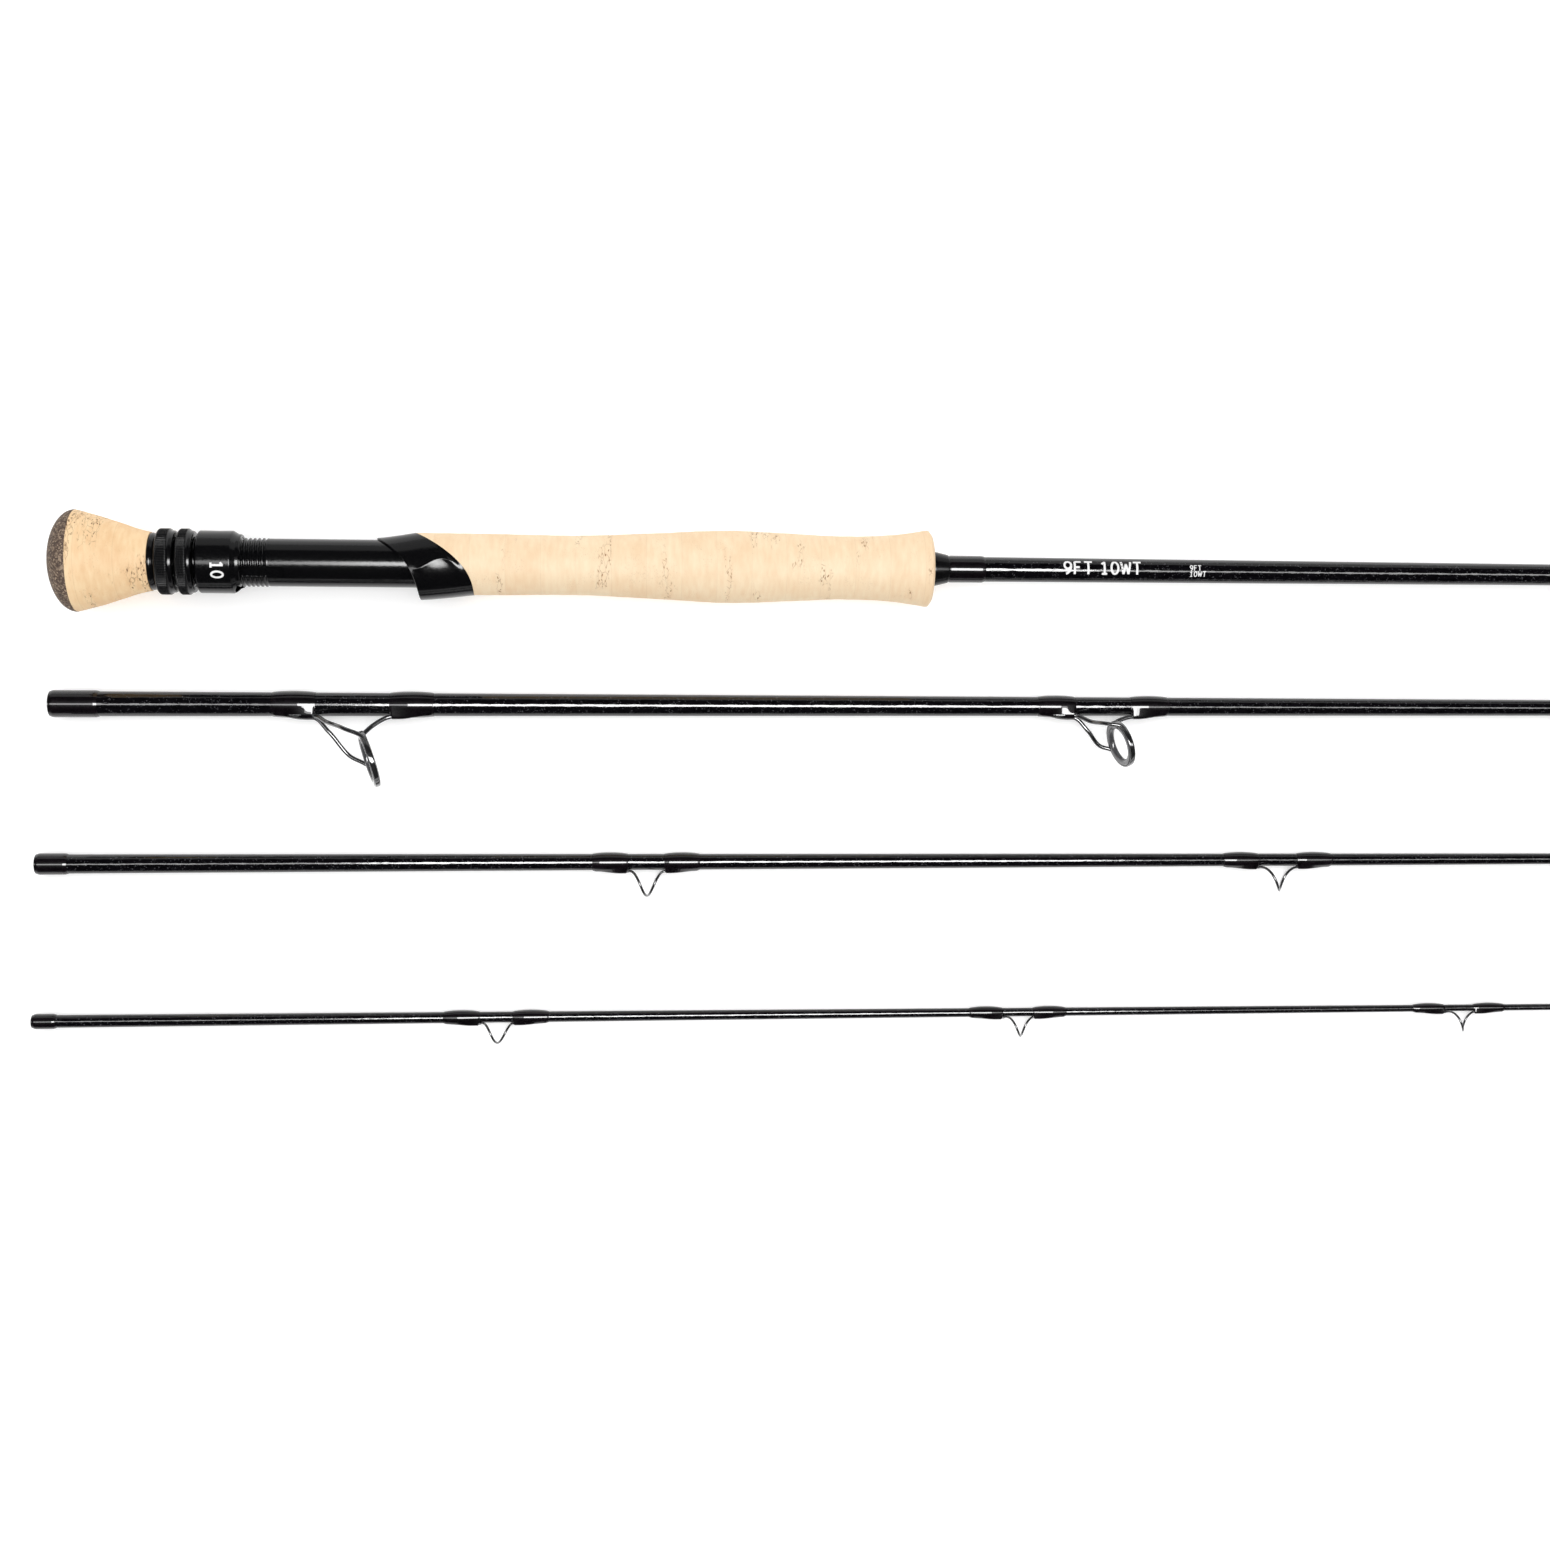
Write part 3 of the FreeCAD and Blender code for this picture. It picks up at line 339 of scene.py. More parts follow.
def make_cork_group():
    """Cork's figure along X, the rod's way: cloudy streaks across it, a tone and a pit density of
    its own for every glued ring, faint glue lines, round pits where Voronoi cells are near their
    middle, and cracks where they are near their edge."""
    group, entry, leave = new_group(
        "cork_figure",
        [("Place", "NodeSocketVector", None), ("Pale", "NodeSocketColor", None),
         ("Dark", "NodeSocketColor", None), ("Pit colour", "NodeSocketColor", None),
         ("Pit amount", "NodeSocketFloat", 0.5), ("Ring shift", "NodeSocketFloat", 0.0)],
        [("Colour", "NodeSocketColor"), ("Height", "NodeSocketFloat")])
    out = entry.outputs
    ring_tone, ring_pits, seam_strength = 0.22, 0.13, 0.12
    # How many Voronoi cells there are to a metre for each kind of mark.
    pit_cells, crack_cells, speck_cells = 620.0, 300.0, 1300.0

    def join(kind, a, b, clamp=False):
        return add_node(group, "ShaderNodeMath", {0: a, 1: b}, operation=kind,
                        use_clamp=clamp).outputs[0]

    def spread(value, low, high):
        return add_node(group, "ShaderNodeMapRange",
                        {"Value": value, "From Min": low, "From Max": high}).outputs[0]

    def noise(vector, scale, detail=3.0):
        return add_node(group, "ShaderNodeTexNoise", {
            "Vector": vector, "Scale": scale, "Detail": detail}).outputs

    def drawn(vector, scale):
        return add_node(group, "ShaderNodeMapping", {
            "Vector": vector, "Scale": scale}).outputs[0]

    place = out["Place"]
    x = add_node(group, "ShaderNodeSeparateXYZ", {0: place}).outputs[0]
    turns = join("ADD", join("DIVIDE", x, CORK_RING), out["Ring shift"])
    own = add_node(group, "ShaderNodeTexWhiteNoise", {"W": join("FLOOR", turns, 0.0)},
                   noise_dimensions="1D").outputs["Value"]
    across = drawn(place, (3.0, 0.8, 0.8))
    streaks = noise(across, 210.0, 5.0)["Fac"]
    clouds = noise(place, 70.0, 4.0)["Fac"]
    tone = join("ADD", join("ADD", streaks, clouds), join("MULTIPLY", own, ring_tone))
    base = add_node(group, "ShaderNodeMix", {
        0: spread(tone, 0.84, 1.42), 6: out["Dark"], 7: out["Pale"]},
        data_type="RGBA").outputs[2]
    seam = join("ABSOLUTE", join("SUBTRACT", join("FRACT", turns, 0.0), 0.5), 0.0)
    seam = join("MULTIPLY", spread(seam, 0.49, 0.498), seam_strength)
    warp = add_node(group, "ShaderNodeVectorMath", {
        0: noise(place, 500.0)["Color"], "Scale": 0.0014}, operation="SCALE").outputs[0]
    moved = drawn(add_node(group, "ShaderNodeVectorMath", {0: place, 1: warp}).outputs[0],
                  (2.1, 0.75, 0.75))
    own_pits = join("MULTIPLY", own, ring_pits)
    level = join("SUBTRACT", 0.78, join("ADD", out["Pit amount"], own_pits))
    zone = join("MULTIPLY", join("SUBTRACT", noise(across, 62.0, 2.0)["Fac"], level), 16.0, True)
    cells = add_node(group, "ShaderNodeTexVoronoi", {"Vector": moved, "Scale": pit_cells}).outputs
    edges = add_node(group, "ShaderNodeTexVoronoi", {"Vector": moved, "Scale": crack_cells},
                     feature="DISTANCE_TO_EDGE").outputs["Distance"]
    specks = add_node(group, "ShaderNodeTexVoronoi",
                      {"Vector": moved, "Scale": speck_cells}).outputs
    pits = join("MULTIPLY", spread(cells["Distance"], 0.32, 0.16), zone)
    cracks = join("MULTIPLY", join("MULTIPLY", spread(edges, 0.045, 0.015), zone), 0.45)
    fine_zone = spread(noise(place, 130.0)["Fac"], 0.52, 0.66)
    fine = join("MULTIPLY", join("MULTIPLY", spread(specks["Distance"], 0.3, 0.1), fine_zone),
                0.35)
    marks = join("MAXIMUM", join("MAXIMUM", pits, cracks), join("MAXIMUM", fine, seam))
    colour = add_node(group, "ShaderNodeMix", {0: marks, 6: base, 7: out["Pit colour"]},
                      data_type="RGBA").outputs[2]
    height = join("SUBTRACT", join("MULTIPLY", noise(place, 900.0)["Fac"], 0.25), marks)
    group.links.new(colour, leave.inputs["Colour"])
    group.links.new(height, leave.inputs["Height"])
    return group


def make_grain_group():
    """Fine mottling for varnish and metal: roughness spread about a middle value by noise."""
    group, entry, leave = new_group(
        "surface_grain",
        [("Place", "NodeSocketVector", None), ("Scale", "NodeSocketFloat", 400.0),
         ("Low", "NodeSocketFloat", 0.1), ("High", "NodeSocketFloat", 0.2)],
        [("Roughness", "NodeSocketFloat"), ("Height", "NodeSocketFloat")])
    out = entry.outputs
    noise = add_node(group, "ShaderNodeTexNoise",
                     {"Vector": out["Place"], "Scale": out["Scale"], "Detail": 4.0})
    spread = add_node(group, "ShaderNodeMapRange",
                      {"Value": noise.outputs["Fac"], "From Min": 0.3, "From Max": 0.7,
                       "To Min": out["Low"], "To Max": out["High"]})
    group.links.new(spread.outputs[0], leave.inputs["Roughness"])
    group.links.new(noise.outputs["Fac"], leave.inputs["Height"])
    return group


def place_group(tree, group, inputs):
    """The group's node in a material, with its inputs set or linked."""
    return add_node(tree, "ShaderNodeGroup", inputs, node_tree=group).outputs


def raise_by(tree, shader, height, distance, strength=1.0):
    """A bump of the height, distance in metres, on the shader's normal."""
    bump = add_node(tree, "ShaderNodeBump",
                    {"Height": height, "Distance": distance, "Strength": strength})
    tree.links.new(bump.outputs[0], shader.inputs["Normal"])


def cork_finish(name, group, pale, dark, pit, amount, shift):
    """Sanded cork, with its pits sunk in by a bump."""
    material, tree, shader, place = new_finish(name, Roughness=0.62, Specular_IOR_Level=0.25)
    figure = place_group(tree, group, {
        "Place": place, "Pale": rgba(pale), "Dark": rgba(dark), "Pit colour": rgba(pit),
        "Pit amount": amount, "Ring shift": shift})
    tree.links.new(figure["Colour"], shader.inputs["Base Color"])
    raise_by(tree, shader, figure["Height"], 0.00014)
    return material


def composite_cork_finish(name, dark, speck):
    """Pressed cork and rubber granules: Voronoi cells, some pale, most dark."""
    material, tree, shader, place = new_finish(name, Roughness=0.75, Specular_IOR_Level=0.25)
    cells = add_node(tree, "ShaderNodeTexVoronoi", {"Vector": place, "Scale": 2000.0})
    pick = add_node(tree, "ShaderNodeSeparateColor", {0: cells.outputs["Color"]}).outputs[0]
    colour = ramp(tree, pick, ((0.0, rgba(dark)), (0.55, rgba(dark, 1.7)), (0.8, rgba(speck)),
                               (1.0, rgba(speck, 1.5))))
    tree.links.new(colour, shader.inputs["Base Color"])
    raise_by(tree, shader, cells.outputs["Distance"], 0.0002, 0.6)
    return material


def gloss_finish(name, grain, colour, scale, low, high, **numbers):
    """Black anodised metal, varnish, chromed wire, ceramic: one body colour with fine mottling."""
    material, tree, shader, place = new_finish(name, **numbers)
    mottle = place_group(tree, grain, {"Place": place, "Scale": scale, "Low": low, "High": high})
    tree.links.new(mottle["Roughness"], shader.inputs["Roughness"])
    shade = ramp(tree, mottle["Height"], ((0.3, rgba(colour, 0.8)), (0.7, rgba(colour, 1.25))))
    tree.links.new(shade, shader.inputs["Base Color"])
    raise_by(tree, shader, mottle["Height"], 0.00001)
    return material


def blank_finish(name, colour, fleck):
    """Glossy carbon: near black, mottled along the rod, with sparse bright flecks and a slight
    unevenness that breaks up its shine."""
    material, tree, shader, place = new_finish(name, Roughness=0.09, Specular_IOR_Level=0.6)
    cells = add_node(tree, "ShaderNodeTexVoronoi", {"Vector": place, "Scale": 2600.0})
    pick = add_node(tree, "ShaderNodeSeparateColor", {0: cells.outputs["Color"]}).outputs[1]
    drawn = add_node(tree, "ShaderNodeMapping", {"Vector": place, "Scale": (0.25, 1.0, 1.0)})
    noise = add_node(tree, "ShaderNodeTexNoise",
                     {"Vector": drawn.outputs[0], "Scale": 900.0, "Detail": 3.0})
    weave = ramp(tree, noise.outputs["Fac"],
                 ((0.35, rgba(colour, 0.7)), (0.65, rgba(colour, 1.6))))
    bright = add_node(tree, "ShaderNodeMapRange",
                      {"Value": pick, "From Min": 0.93, "From Max": 0.99}).outputs[0]
    shade = add_node(tree, "ShaderNodeMix", {0: bright, 6: weave, 7: rgba(fleck)},
                     data_type="RGBA").outputs[2]
    tree.links.new(shade, shader.inputs["Base Color"])
    raise_by(tree, shader, noise.outputs["Fac"], 0.00005)
    return material


def thread_finish(name, colour, painted_crest_sheen, pitch):
    """Turns of thread under clear epoxy: a wave along the rod, one ridge to a turn. The same wave,
    broken up by noise, also colours the turns, with painted shade in the grooves between them and
    a painted sheen on their crests.
    """
    material, tree, shader, place = new_finish(
        name, Roughness=0.35, Specular_IOR_Level=0.08, Coat_Weight=0.9, Coat_Roughness=0.03,
        Coat_IOR=1.5)
    wave = add_node(tree, "ShaderNodeTexWave",
                    {"Vector": place, "Scale": TURN / 20.0 / pitch, "Distortion": 0.6,
                     "Detail": 1.0, "Detail Scale": 0.4}, bands_direction="X")
    cloud = add_node(tree, "ShaderNodeTexNoise", {"Vector": place, "Scale": 300.0, "Detail": 2.0})
    tone = add_node(tree, "ShaderNodeMath",
                    {0: wave.outputs["Fac"], 1: cloud.outputs["Fac"]}, operation="MULTIPLY")
    # Painted shade in the grooves (half the thread's colour) and the lighter second colour as a
    # painted sheen on the crests, varied at random by the noise.
    shade = ramp(tree, tone.outputs[0], ((0.05, rgba(colour, 0.5)), (0.3, rgba(colour)),
                                         (0.65, rgba(painted_crest_sheen))))
    tree.links.new(shade, shader.inputs["Base Color"])
    raise_by(tree, shader, wave.outputs["Fac"], 0.00003, 0.6)
    return material


def printed_finish(name, colour):
    """Matt paint, slightly patchy."""
    material, tree, shader, place = new_finish(name, Roughness=0.5)
    noise = add_node(tree, "ShaderNodeTexNoise", {"Vector": place, "Scale": 1500.0})
    shade = ramp(tree, noise.outputs["Fac"], ((0.3, rgba(colour, 0.86)), (0.6, rgba(colour))))
    tree.links.new(shade, shader.inputs["Base Color"])
    return material


def make_finishes(looks):
    """All materials by slot, from the colours in the panel."""
    cork, grain = make_cork_group(), make_grain_group()
    pit, faint = tuple(looks.pit_colour), tuple(looks.faint_pit_colour)
    return {
        "cork": cork_finish("grip_cork_finish", cork, looks.cork_pale, looks.cork_dark, faint,
                            0.09, 0.37),
        "butt_cork": cork_finish("butt_cork_finish", cork, looks.butt_pale, looks.butt_dark,
                                 pit, 0.20, 0.12),
        "dark_cork": composite_cork_finish("cap_cork_finish", tuple(looks.cap_colour),
                                           (0.22, 0.16, 0.11)),
        "arbor": cork_finish("arbor_cork_finish", cork, looks.cork_pale, looks.cork_dark, pit,
                             0.2, 0.0),
        "black_anodised": gloss_finish(
            "anodised_finish", grain, tuple(looks.metal_colour), 1500.0, 0.11, 0.2,
            Specular_IOR_Level=0.3),
        "check_rubber": gloss_finish(
            "check_finish", grain, (0.004, 0.004, 0.0045), 700.0, 0.16, 0.26,
            Specular_IOR_Level=0.3),
        "carbon_blank": blank_finish("blank_finish", tuple(looks.blank_colour),
                                     (0.05, 0.05, 0.055)),
        # The thread's second, lighter colour is a painted sheen for the crests of its turns.
        "thread_wrap": thread_finish("thread_finish", tuple(looks.thread_colour),
                                     (0.010, 0.0055, 0.0095), 0.00022),
        "ceramic": gloss_finish("ceramic_finish", grain, (0.06, 0.06, 0.065), 500.0, 0.10, 0.2,
                                Coat_Weight=0.5, Coat_Roughness=0.05),
        "guide_wire": gloss_finish("guide_finish", grain, (0.035, 0.035, 0.037), 800.0, 0.12, 0.22,
                                   Metallic=0.6, Coat_Weight=1.0, Coat_Roughness=0.05,
                                   Coat_IOR=1.7),
        "print": printed_finish("white_print_finish", (0.8, 0.8, 0.8)),
    }


# ---------------------------------------------------------------- panel values


def length(name, description, millimetres):
    """A size in the panel, given in millimetres and kept in metres."""
    return FloatProperty(name=name, description=description, default=millimetres * MM,
                         min=0.0, precision=5, unit="LENGTH")


def colour(name, description, default):
    """A colour in the panel."""
    return FloatVectorProperty(name=name, description=description, default=default, size=3,
                               min=0.0, max=1.0, subtype="COLOR")


class FlyRodSizes(bpy.types.PropertyGroup):
    cap_depth: length("Cap depth", "Depth of the butt cap's dome", 9.4)
    cap_radius: length("Cap radius", "Radius of the butt cap's rim", 18.2)
    barrel_radius: length("Barrel radius", "Radius of the plain seat barrel", 8.6)
    thread_crest: length("Thread crest", "Crest radius of the barrel thread", 8.8)
    thread_depth: length("Thread depth", "Depth of the barrel thread", 0.65)
    thread_pitch: length("Thread pitch", "Pitch of the barrel thread", 1.6)
    keyway_width: length("Keyway width", "Width of the slot along the barrel", 4.0)
    nut_radius: length("Ring radius", "Radius of the two locking rings", 11.85)
    nut_bore: length("Ring bore", "Bore radius of the rings and the hood", 8.88)
    hood_radius: length("Hood radius", "Radius of the sliding hood", 11.25)
    check_radius: length("Check radius", "Radius of the winding check", 6.4)
    knurls: IntProperty(name="Knurls", description="Ridges around a locking ring", default=80,
                        min=12, max=120)


class FlyRodLooks(bpy.types.PropertyGroup):
    cork_pale: colour("Cork, pale", "Light tone of the grip's cork", (0.84, 0.68, 0.47))
    cork_dark: colour("Cork, dark", "Deeper tone of the grip's cork", (0.79, 0.58, 0.37))
    butt_pale: colour("Butt cork, pale", "Light tone of the fighting butt", (0.84, 0.63, 0.38))
    butt_dark: colour("Butt cork, dark", "Deeper tone of the fighting butt", (0.76, 0.50, 0.27))
    pit_colour: colour("Pits", "Colour inside the cork's pits", (0.17, 0.075, 0.03))
    faint_pit_colour: colour("Faint pits", "Colour inside the grip's finer pits",
                             (0.36, 0.19, 0.09))
    cap_colour: colour("Cap", "Dark granules of the butt cap", (0.062, 0.04, 0.029))
    metal_colour: colour("Seat", "Black anodised reel seat", (0.003, 0.003, 0.0035))
    blank_colour: colour("Blank", "Carbon under varnish", (0.0025, 0.0022, 0.003))
    thread_colour: colour("Thread", "Wrapping thread under epoxy", (0.003, 0.0017, 0.003))


def sizes_in_millimetres():
    """The panel's lengths by name, in millimetres."""
    sizes = bpy.context.scene.fly_rod_sizes
    names = [name for name in FlyRodSizes.__annotations__ if name != "knurls"]
    return {name: getattr(sizes, name) / MM for name in names}


# ---------------------------------------------------------------- corks


CORK_COLUMNS = 128


def worn(depth, start):
    """Shallow waviness of handled cork, outside its bore: a product of sines in place and angle
    and a finer slanting sine, all shifted by start."""
    def swell(along, angle, radius):
        wave = np.sin(along * 0.35 + start) * np.sin(3 * angle + start * 2)
        wave += 0.6 * np.sin(along * 0.9 + 2 * angle + start * 3)
        return radius + depth * wave * (radius > 9.0)
    return swell


class FLYROD_OT_corks(bpy.types.Operator):
    """Build the butt cap, the fighting butt and the grip"""
    bl_idname = "fly_rod.corks"
    bl_label = "Corks"

    def execute(self, context):
        mm = sizes_in_millimetres()
        self.make_cap(mm)
        self.make_fighting_butt()
        self.make_grip()
        return {"FINISHED"}

    def make_cap(self, mm):
        """Half of a flattened ellipsoid: the place is its depth times one minus the cosine, and
        the radius is its rim's radius times the sine."""
        angle = np.linspace(0.02, math.pi / 2, 40)[:, None]
        dome = round_points(mm["cap_depth"] * (1 - np.cos(angle)), around(CORK_COLUMNS),
                            mm["cap_radius"] * np.sin(angle))
        piece("butt_cap_dome", [shell(laid("butt", dome))], "butt_section", ["butt_cap"],
              "dark_cork")

    def make_fighting_butt(self):
        """Smooth curve through the fighting butt's stations, turned, with its rear rim drawn in,
        and closed along a straight bore."""
        along = np.linspace(FIGHTING_BUTT[0][0] + CLEAR, FIGHTING_BUTT[-1][0], 70)
        outline = np.stack((along, hermite(FIGHTING_BUTT, along)), axis=1)
        outline[0, 1] -= 0.12
        bore = [(along[-1], CORK_BORE), (along[0], CORK_BORE)]
        piece("fighting_butt",
              [lathe("butt", np.vstack((outline, bore)), CORK_COLUMNS, worn(0.03, 1.3))],
              "butt_section", ["fighting_butt_cork"], "butt_cork")

    def make_grip(self):
        """Smooth curve through the grip's stations, turned. Its rear edge follows the hood's
        slanted front edge, its front rim is rounded off by a quarter circle, and its bore is
        wide over the end of the barrel and narrow over the blank."""
        rounding, barrel_bore, step = 1.6, 8.64, 150.1
        end = GRIP[-1][0]
        share = np.linspace(0.0, 1.0, 180)[:, None]
        turn = around(CORK_COLUMNS)[None, :]
        start = hood_edge("front", GRIP_START_RADIUS * np.cos(turn)) + 0.03
        along = start + (end - start) * share
        radius = hermite(GRIP, along)
        over = np.clip(along - (end - rounding), 0.0, rounding)
        radius = radius - rounding + np.sqrt(np.maximum(rounding**2 - over**2, 0.0))
        radius = worn(0.04, 0.4)(along, turn, radius)
        narrow, wide = np.full_like(turn, CORK_BORE), np.full_like(turn, barrel_bore)
        inside = np.maximum(start, step)
        along = np.vstack((along, np.full_like(turn, end), inside, inside, start))
        radius = np.vstack((radius, narrow, narrow, wide, wide))
        piece("cork_grip", [shell(laid("butt", round_points(along, turn, radius)), ring=True)],
              "butt_section", ["grip_cork"], "cork")


# ---------------------------------------------------------------- reel seat


HOOD_EDGES = {"rear": ((-14.0, 110.3), (0.0, 125.5), (14.0, 131.1)),
              "front": ((-14.0, 123.0), (0.0, 144.7), (14.0, 149.5))}


def hood_edge(which, height):
    """Where a slanted edge of the front hood lies at a height towards the reel side: the parabola
    through its three stations."""
    heights, places = np.array(HOOD_EDGES[which]).T
    return np.polyval(np.polyfit(heights, places, 2), height)


def foot_pocket(angle, radius=6.6, offset=4.1):
    """Radius of the round pocket for the reel's foot: a circle that stands off the axis towards
    the reel, seen from the axis."""
    return (offset * np.cos(angle)
            + np.sqrt(np.maximum(radius**2 - (offset * np.sin(angle))**2, 0.0)))


class FLYROD_OT_seat(bpy.types.Operator):
    """Build the reel seat: barrel, end collar, locking rings, sliding hood and front hood"""
    bl_idname = "fly_rod.seat"
    bl_label = "Reel Seat"

    key_angle = math.radians(60.0)
    barrel_ends = (35.62, 149.8)
    barrel_bore = 7.0
    thread_ends = (38.2, 77.5)
    keyway_end = 83.0
    keyway_floor = 7.85
    rim_drop = 0.75

    def execute(self, context):
        mm = sizes_in_millimetres()
        self.make_barrel(mm)
        self.make_collar()
        self.make_ring("jam_ring", "jam_ring_body", 38.1, 42.9, 44.5, mm)
        self.make_ring("lock_ring", "lock_ring_body", 45.4, 49.5, 51.0, mm)
        self.make_slider(mm)
        self.make_front_hood()
        return {"FINISHED"}

    def seat_piece(self, name, shells, body, node):
        """One piece of the seat, in black anodised metal."""
        piece(name, shells, body, [node], "black_anodised")

    def make_barrel(self, mm):
        """Helical thread: the radius falls from the crest by the thread's depth times a rounded
        triangle wave of (place minus pitch times turns), faded out at both ends, and a flat-
        bottomed keyway cuts through it."""
        first, last = self.thread_ends
        rear, front = self.barrel_ends
        along = np.concatenate(([rear, 36.0, 37.0, 38.1], np.arange(first, last + 0.9, 0.16),
                                [79.0, 80.5, 82.4, 82.9, 83.1, 84.0, 100.0, 120.0, front]))
        outline = [(place, mm["barrel_radius"]) for place in along]
        outline += [(front, self.barrel_bore), (rear, self.barrel_bore)]

        def swell(place, angle, radius):
            phase = place / mm["thread_pitch"] + angle / TURN
            wave = np.abs(2 * (phase - np.floor(phase)) - 1)
            wave = rise(wave, 0.12, 0.88)
            strength = rise(place, first, first + 1.2) * (1 - rise(place, last - 1.6, last))
            lift = mm["thread_crest"] - mm["barrel_radius"]
            threaded = radius + strength * (lift - mm["thread_depth"] * wave)
            outer = radius > self.barrel_bore + 1
            turned = np.where(outer, threaded, radius)
            offset = angle - self.key_angle
            half = mm["keyway_width"] / 2
            inside = (np.abs(radius * np.sin(offset)) < half) & (np.cos(offset) > 0)
            slotted = outer & inside & (place > first) & (place < self.keyway_end)
            floor = self.keyway_floor / np.cos(offset)
            return np.where(slotted, np.minimum(turned, floor), turned)

        self.seat_piece("threaded_barrel", [lathe("butt", outline, 220, swell)],
                        "butt_section", "seat_barrel")

    def make_collar(self):
        """Turned collar: a low crown with eased corners, closed along its bore."""
        start, end, bore = self.barrel_ends[0], 37.9, 8.62
        outline = eased([(start, bore), (start, 10.2), (36.5, 10.35), (end, 9.7), (end, bore)],
                        0.35)
        self.seat_piece("end_collar", [lathe("butt", outline, 128)], "butt_section",
                        "seat_end_collar")

    def make_ring(self, node, body, start, knurl_end, end, mm):
        """Knurled band: the radius dips by a rounded comb of the angle inside the band, and eases
        into a plain shoulder."""
        outer, bore, knurl_depth = mm["nut_radius"], mm["nut_bore"], 0.34
        plain = [(start, bore), (start, outer - self.rim_drop), (start + 0.7, outer),
                 (knurl_end - 0.35, outer), (knurl_end + 0.25, outer - 0.7),
                 (end - 0.4, outer - self.rim_drop), (end, outer - 1.2), (end, bore)]
        outline = self.refined(eased(plain, 0.4))
        knurls = bpy.context.scene.fly_rod_sizes.knurls

        def swell(place, angle, radius):
            band = rise(place, start + 0.35, start + 0.95)
            band = band * (1 - rise(place, knurl_end - 0.75, knurl_end - 0.3))
            comb = 0.5 - 0.5 * np.cos(knurls * angle)
            return radius - knurl_depth * comb**1.3 * band * (radius > outer - 0.7)

        self.seat_piece(f"{node}_knurled", [lathe("butt", outline, knurls * 8, swell)], body,
                        node)

    def refined(self, outline):
        """More rows across the knurled band, the longest of the sides that start on the rim."""
        following = np.roll(outline, -1, axis=0)
        on_rim = outline[:, 1] > outline[:, 1].max() - 0.02
        band = np.argmax(np.linalg.norm(following - outline, axis=1) * on_rim)
        extra = np.linspace(outline[band], following[band], 12)[1:-1]
        return np.vstack((outline[:band + 1], extra, outline[band + 1:]))

    def make_slider(self, mm):
        """Turned hood with a bevelled nose, and an oval dimple on the side away from the reel.
        On the reel side the foot pocket widens the bore, and the mouth is cut back to where the
        pocket would break through the bevel."""
        start, end, outer, bore = 52.4, 67.6, mm["hood_radius"], mm["nut_bore"]
        profile = ((start, outer - 0.6), (start + 0.18, outer - 0.22), (start + 0.5, outer),
                   (end - 3.1, outer), (end - 1.3, 10.1), (end - 0.25, 10.0), (end, 9.75))
        dimple_middle, dimple_length, dimple_width, dimple_depth = 59.5, 7.0, 5.4, 0.75
        pocket_start = (56.0, 56.5)
        share = np.linspace(0.0, 1.0, 110)[:, None]
        turn = around(240)[None, :]
        pocket = np.maximum(foot_pocket(turn), bore)
        mouth = np.interp(pocket, (9.75, 10.05, 10.7), (end, end - 1.5, end - 2.55))
        along = start + (mouth - start) * share
        radius = np.interp(along, *np.array(profile).T)
        away = (along - dimple_middle) / (dimple_length / 2)
        beside = (turn - math.pi) * outer / (dimple_width / 2)
        radius = radius - dimple_depth * (1 - rise(np.sqrt(away**2 + beside**2), 0.72, 1.0))
        inner_along = start + (mouth - start) * np.linspace(1.0, 0.0, 50)[:, None]
        inner = bore + (pocket - bore) * rise(inner_along, *pocket_start)
        body = shell(laid("butt", round_points(np.vstack((along, inner_along)), turn,
                                               np.vstack((radius, inner)))), ring=True)
        half, low, high = mm["keyway_width"] / 2 - 0.15, self.keyway_floor + 0.1, bore + 0.5
        corners = np.array([(low, -half), (high, -half), (high, half), (low, half)])
        toward = np.array((math.sin(self.key_angle), math.cos(self.key_angle)))
        beside = np.array((toward[1], -toward[0]))
        across = corners[:, :1] * toward + corners[:, 1:] * beside
        rows = np.array((start + 0.1, start + 3.0, start + 6.0))
        key = np.stack([np.column_stack((np.full(4, place), across)) for place in rows])
        self.seat_piece("sliding_hood_shell", [body, shell(laid("butt", key))],
                        "sliding_hood_body", "sliding_hood")

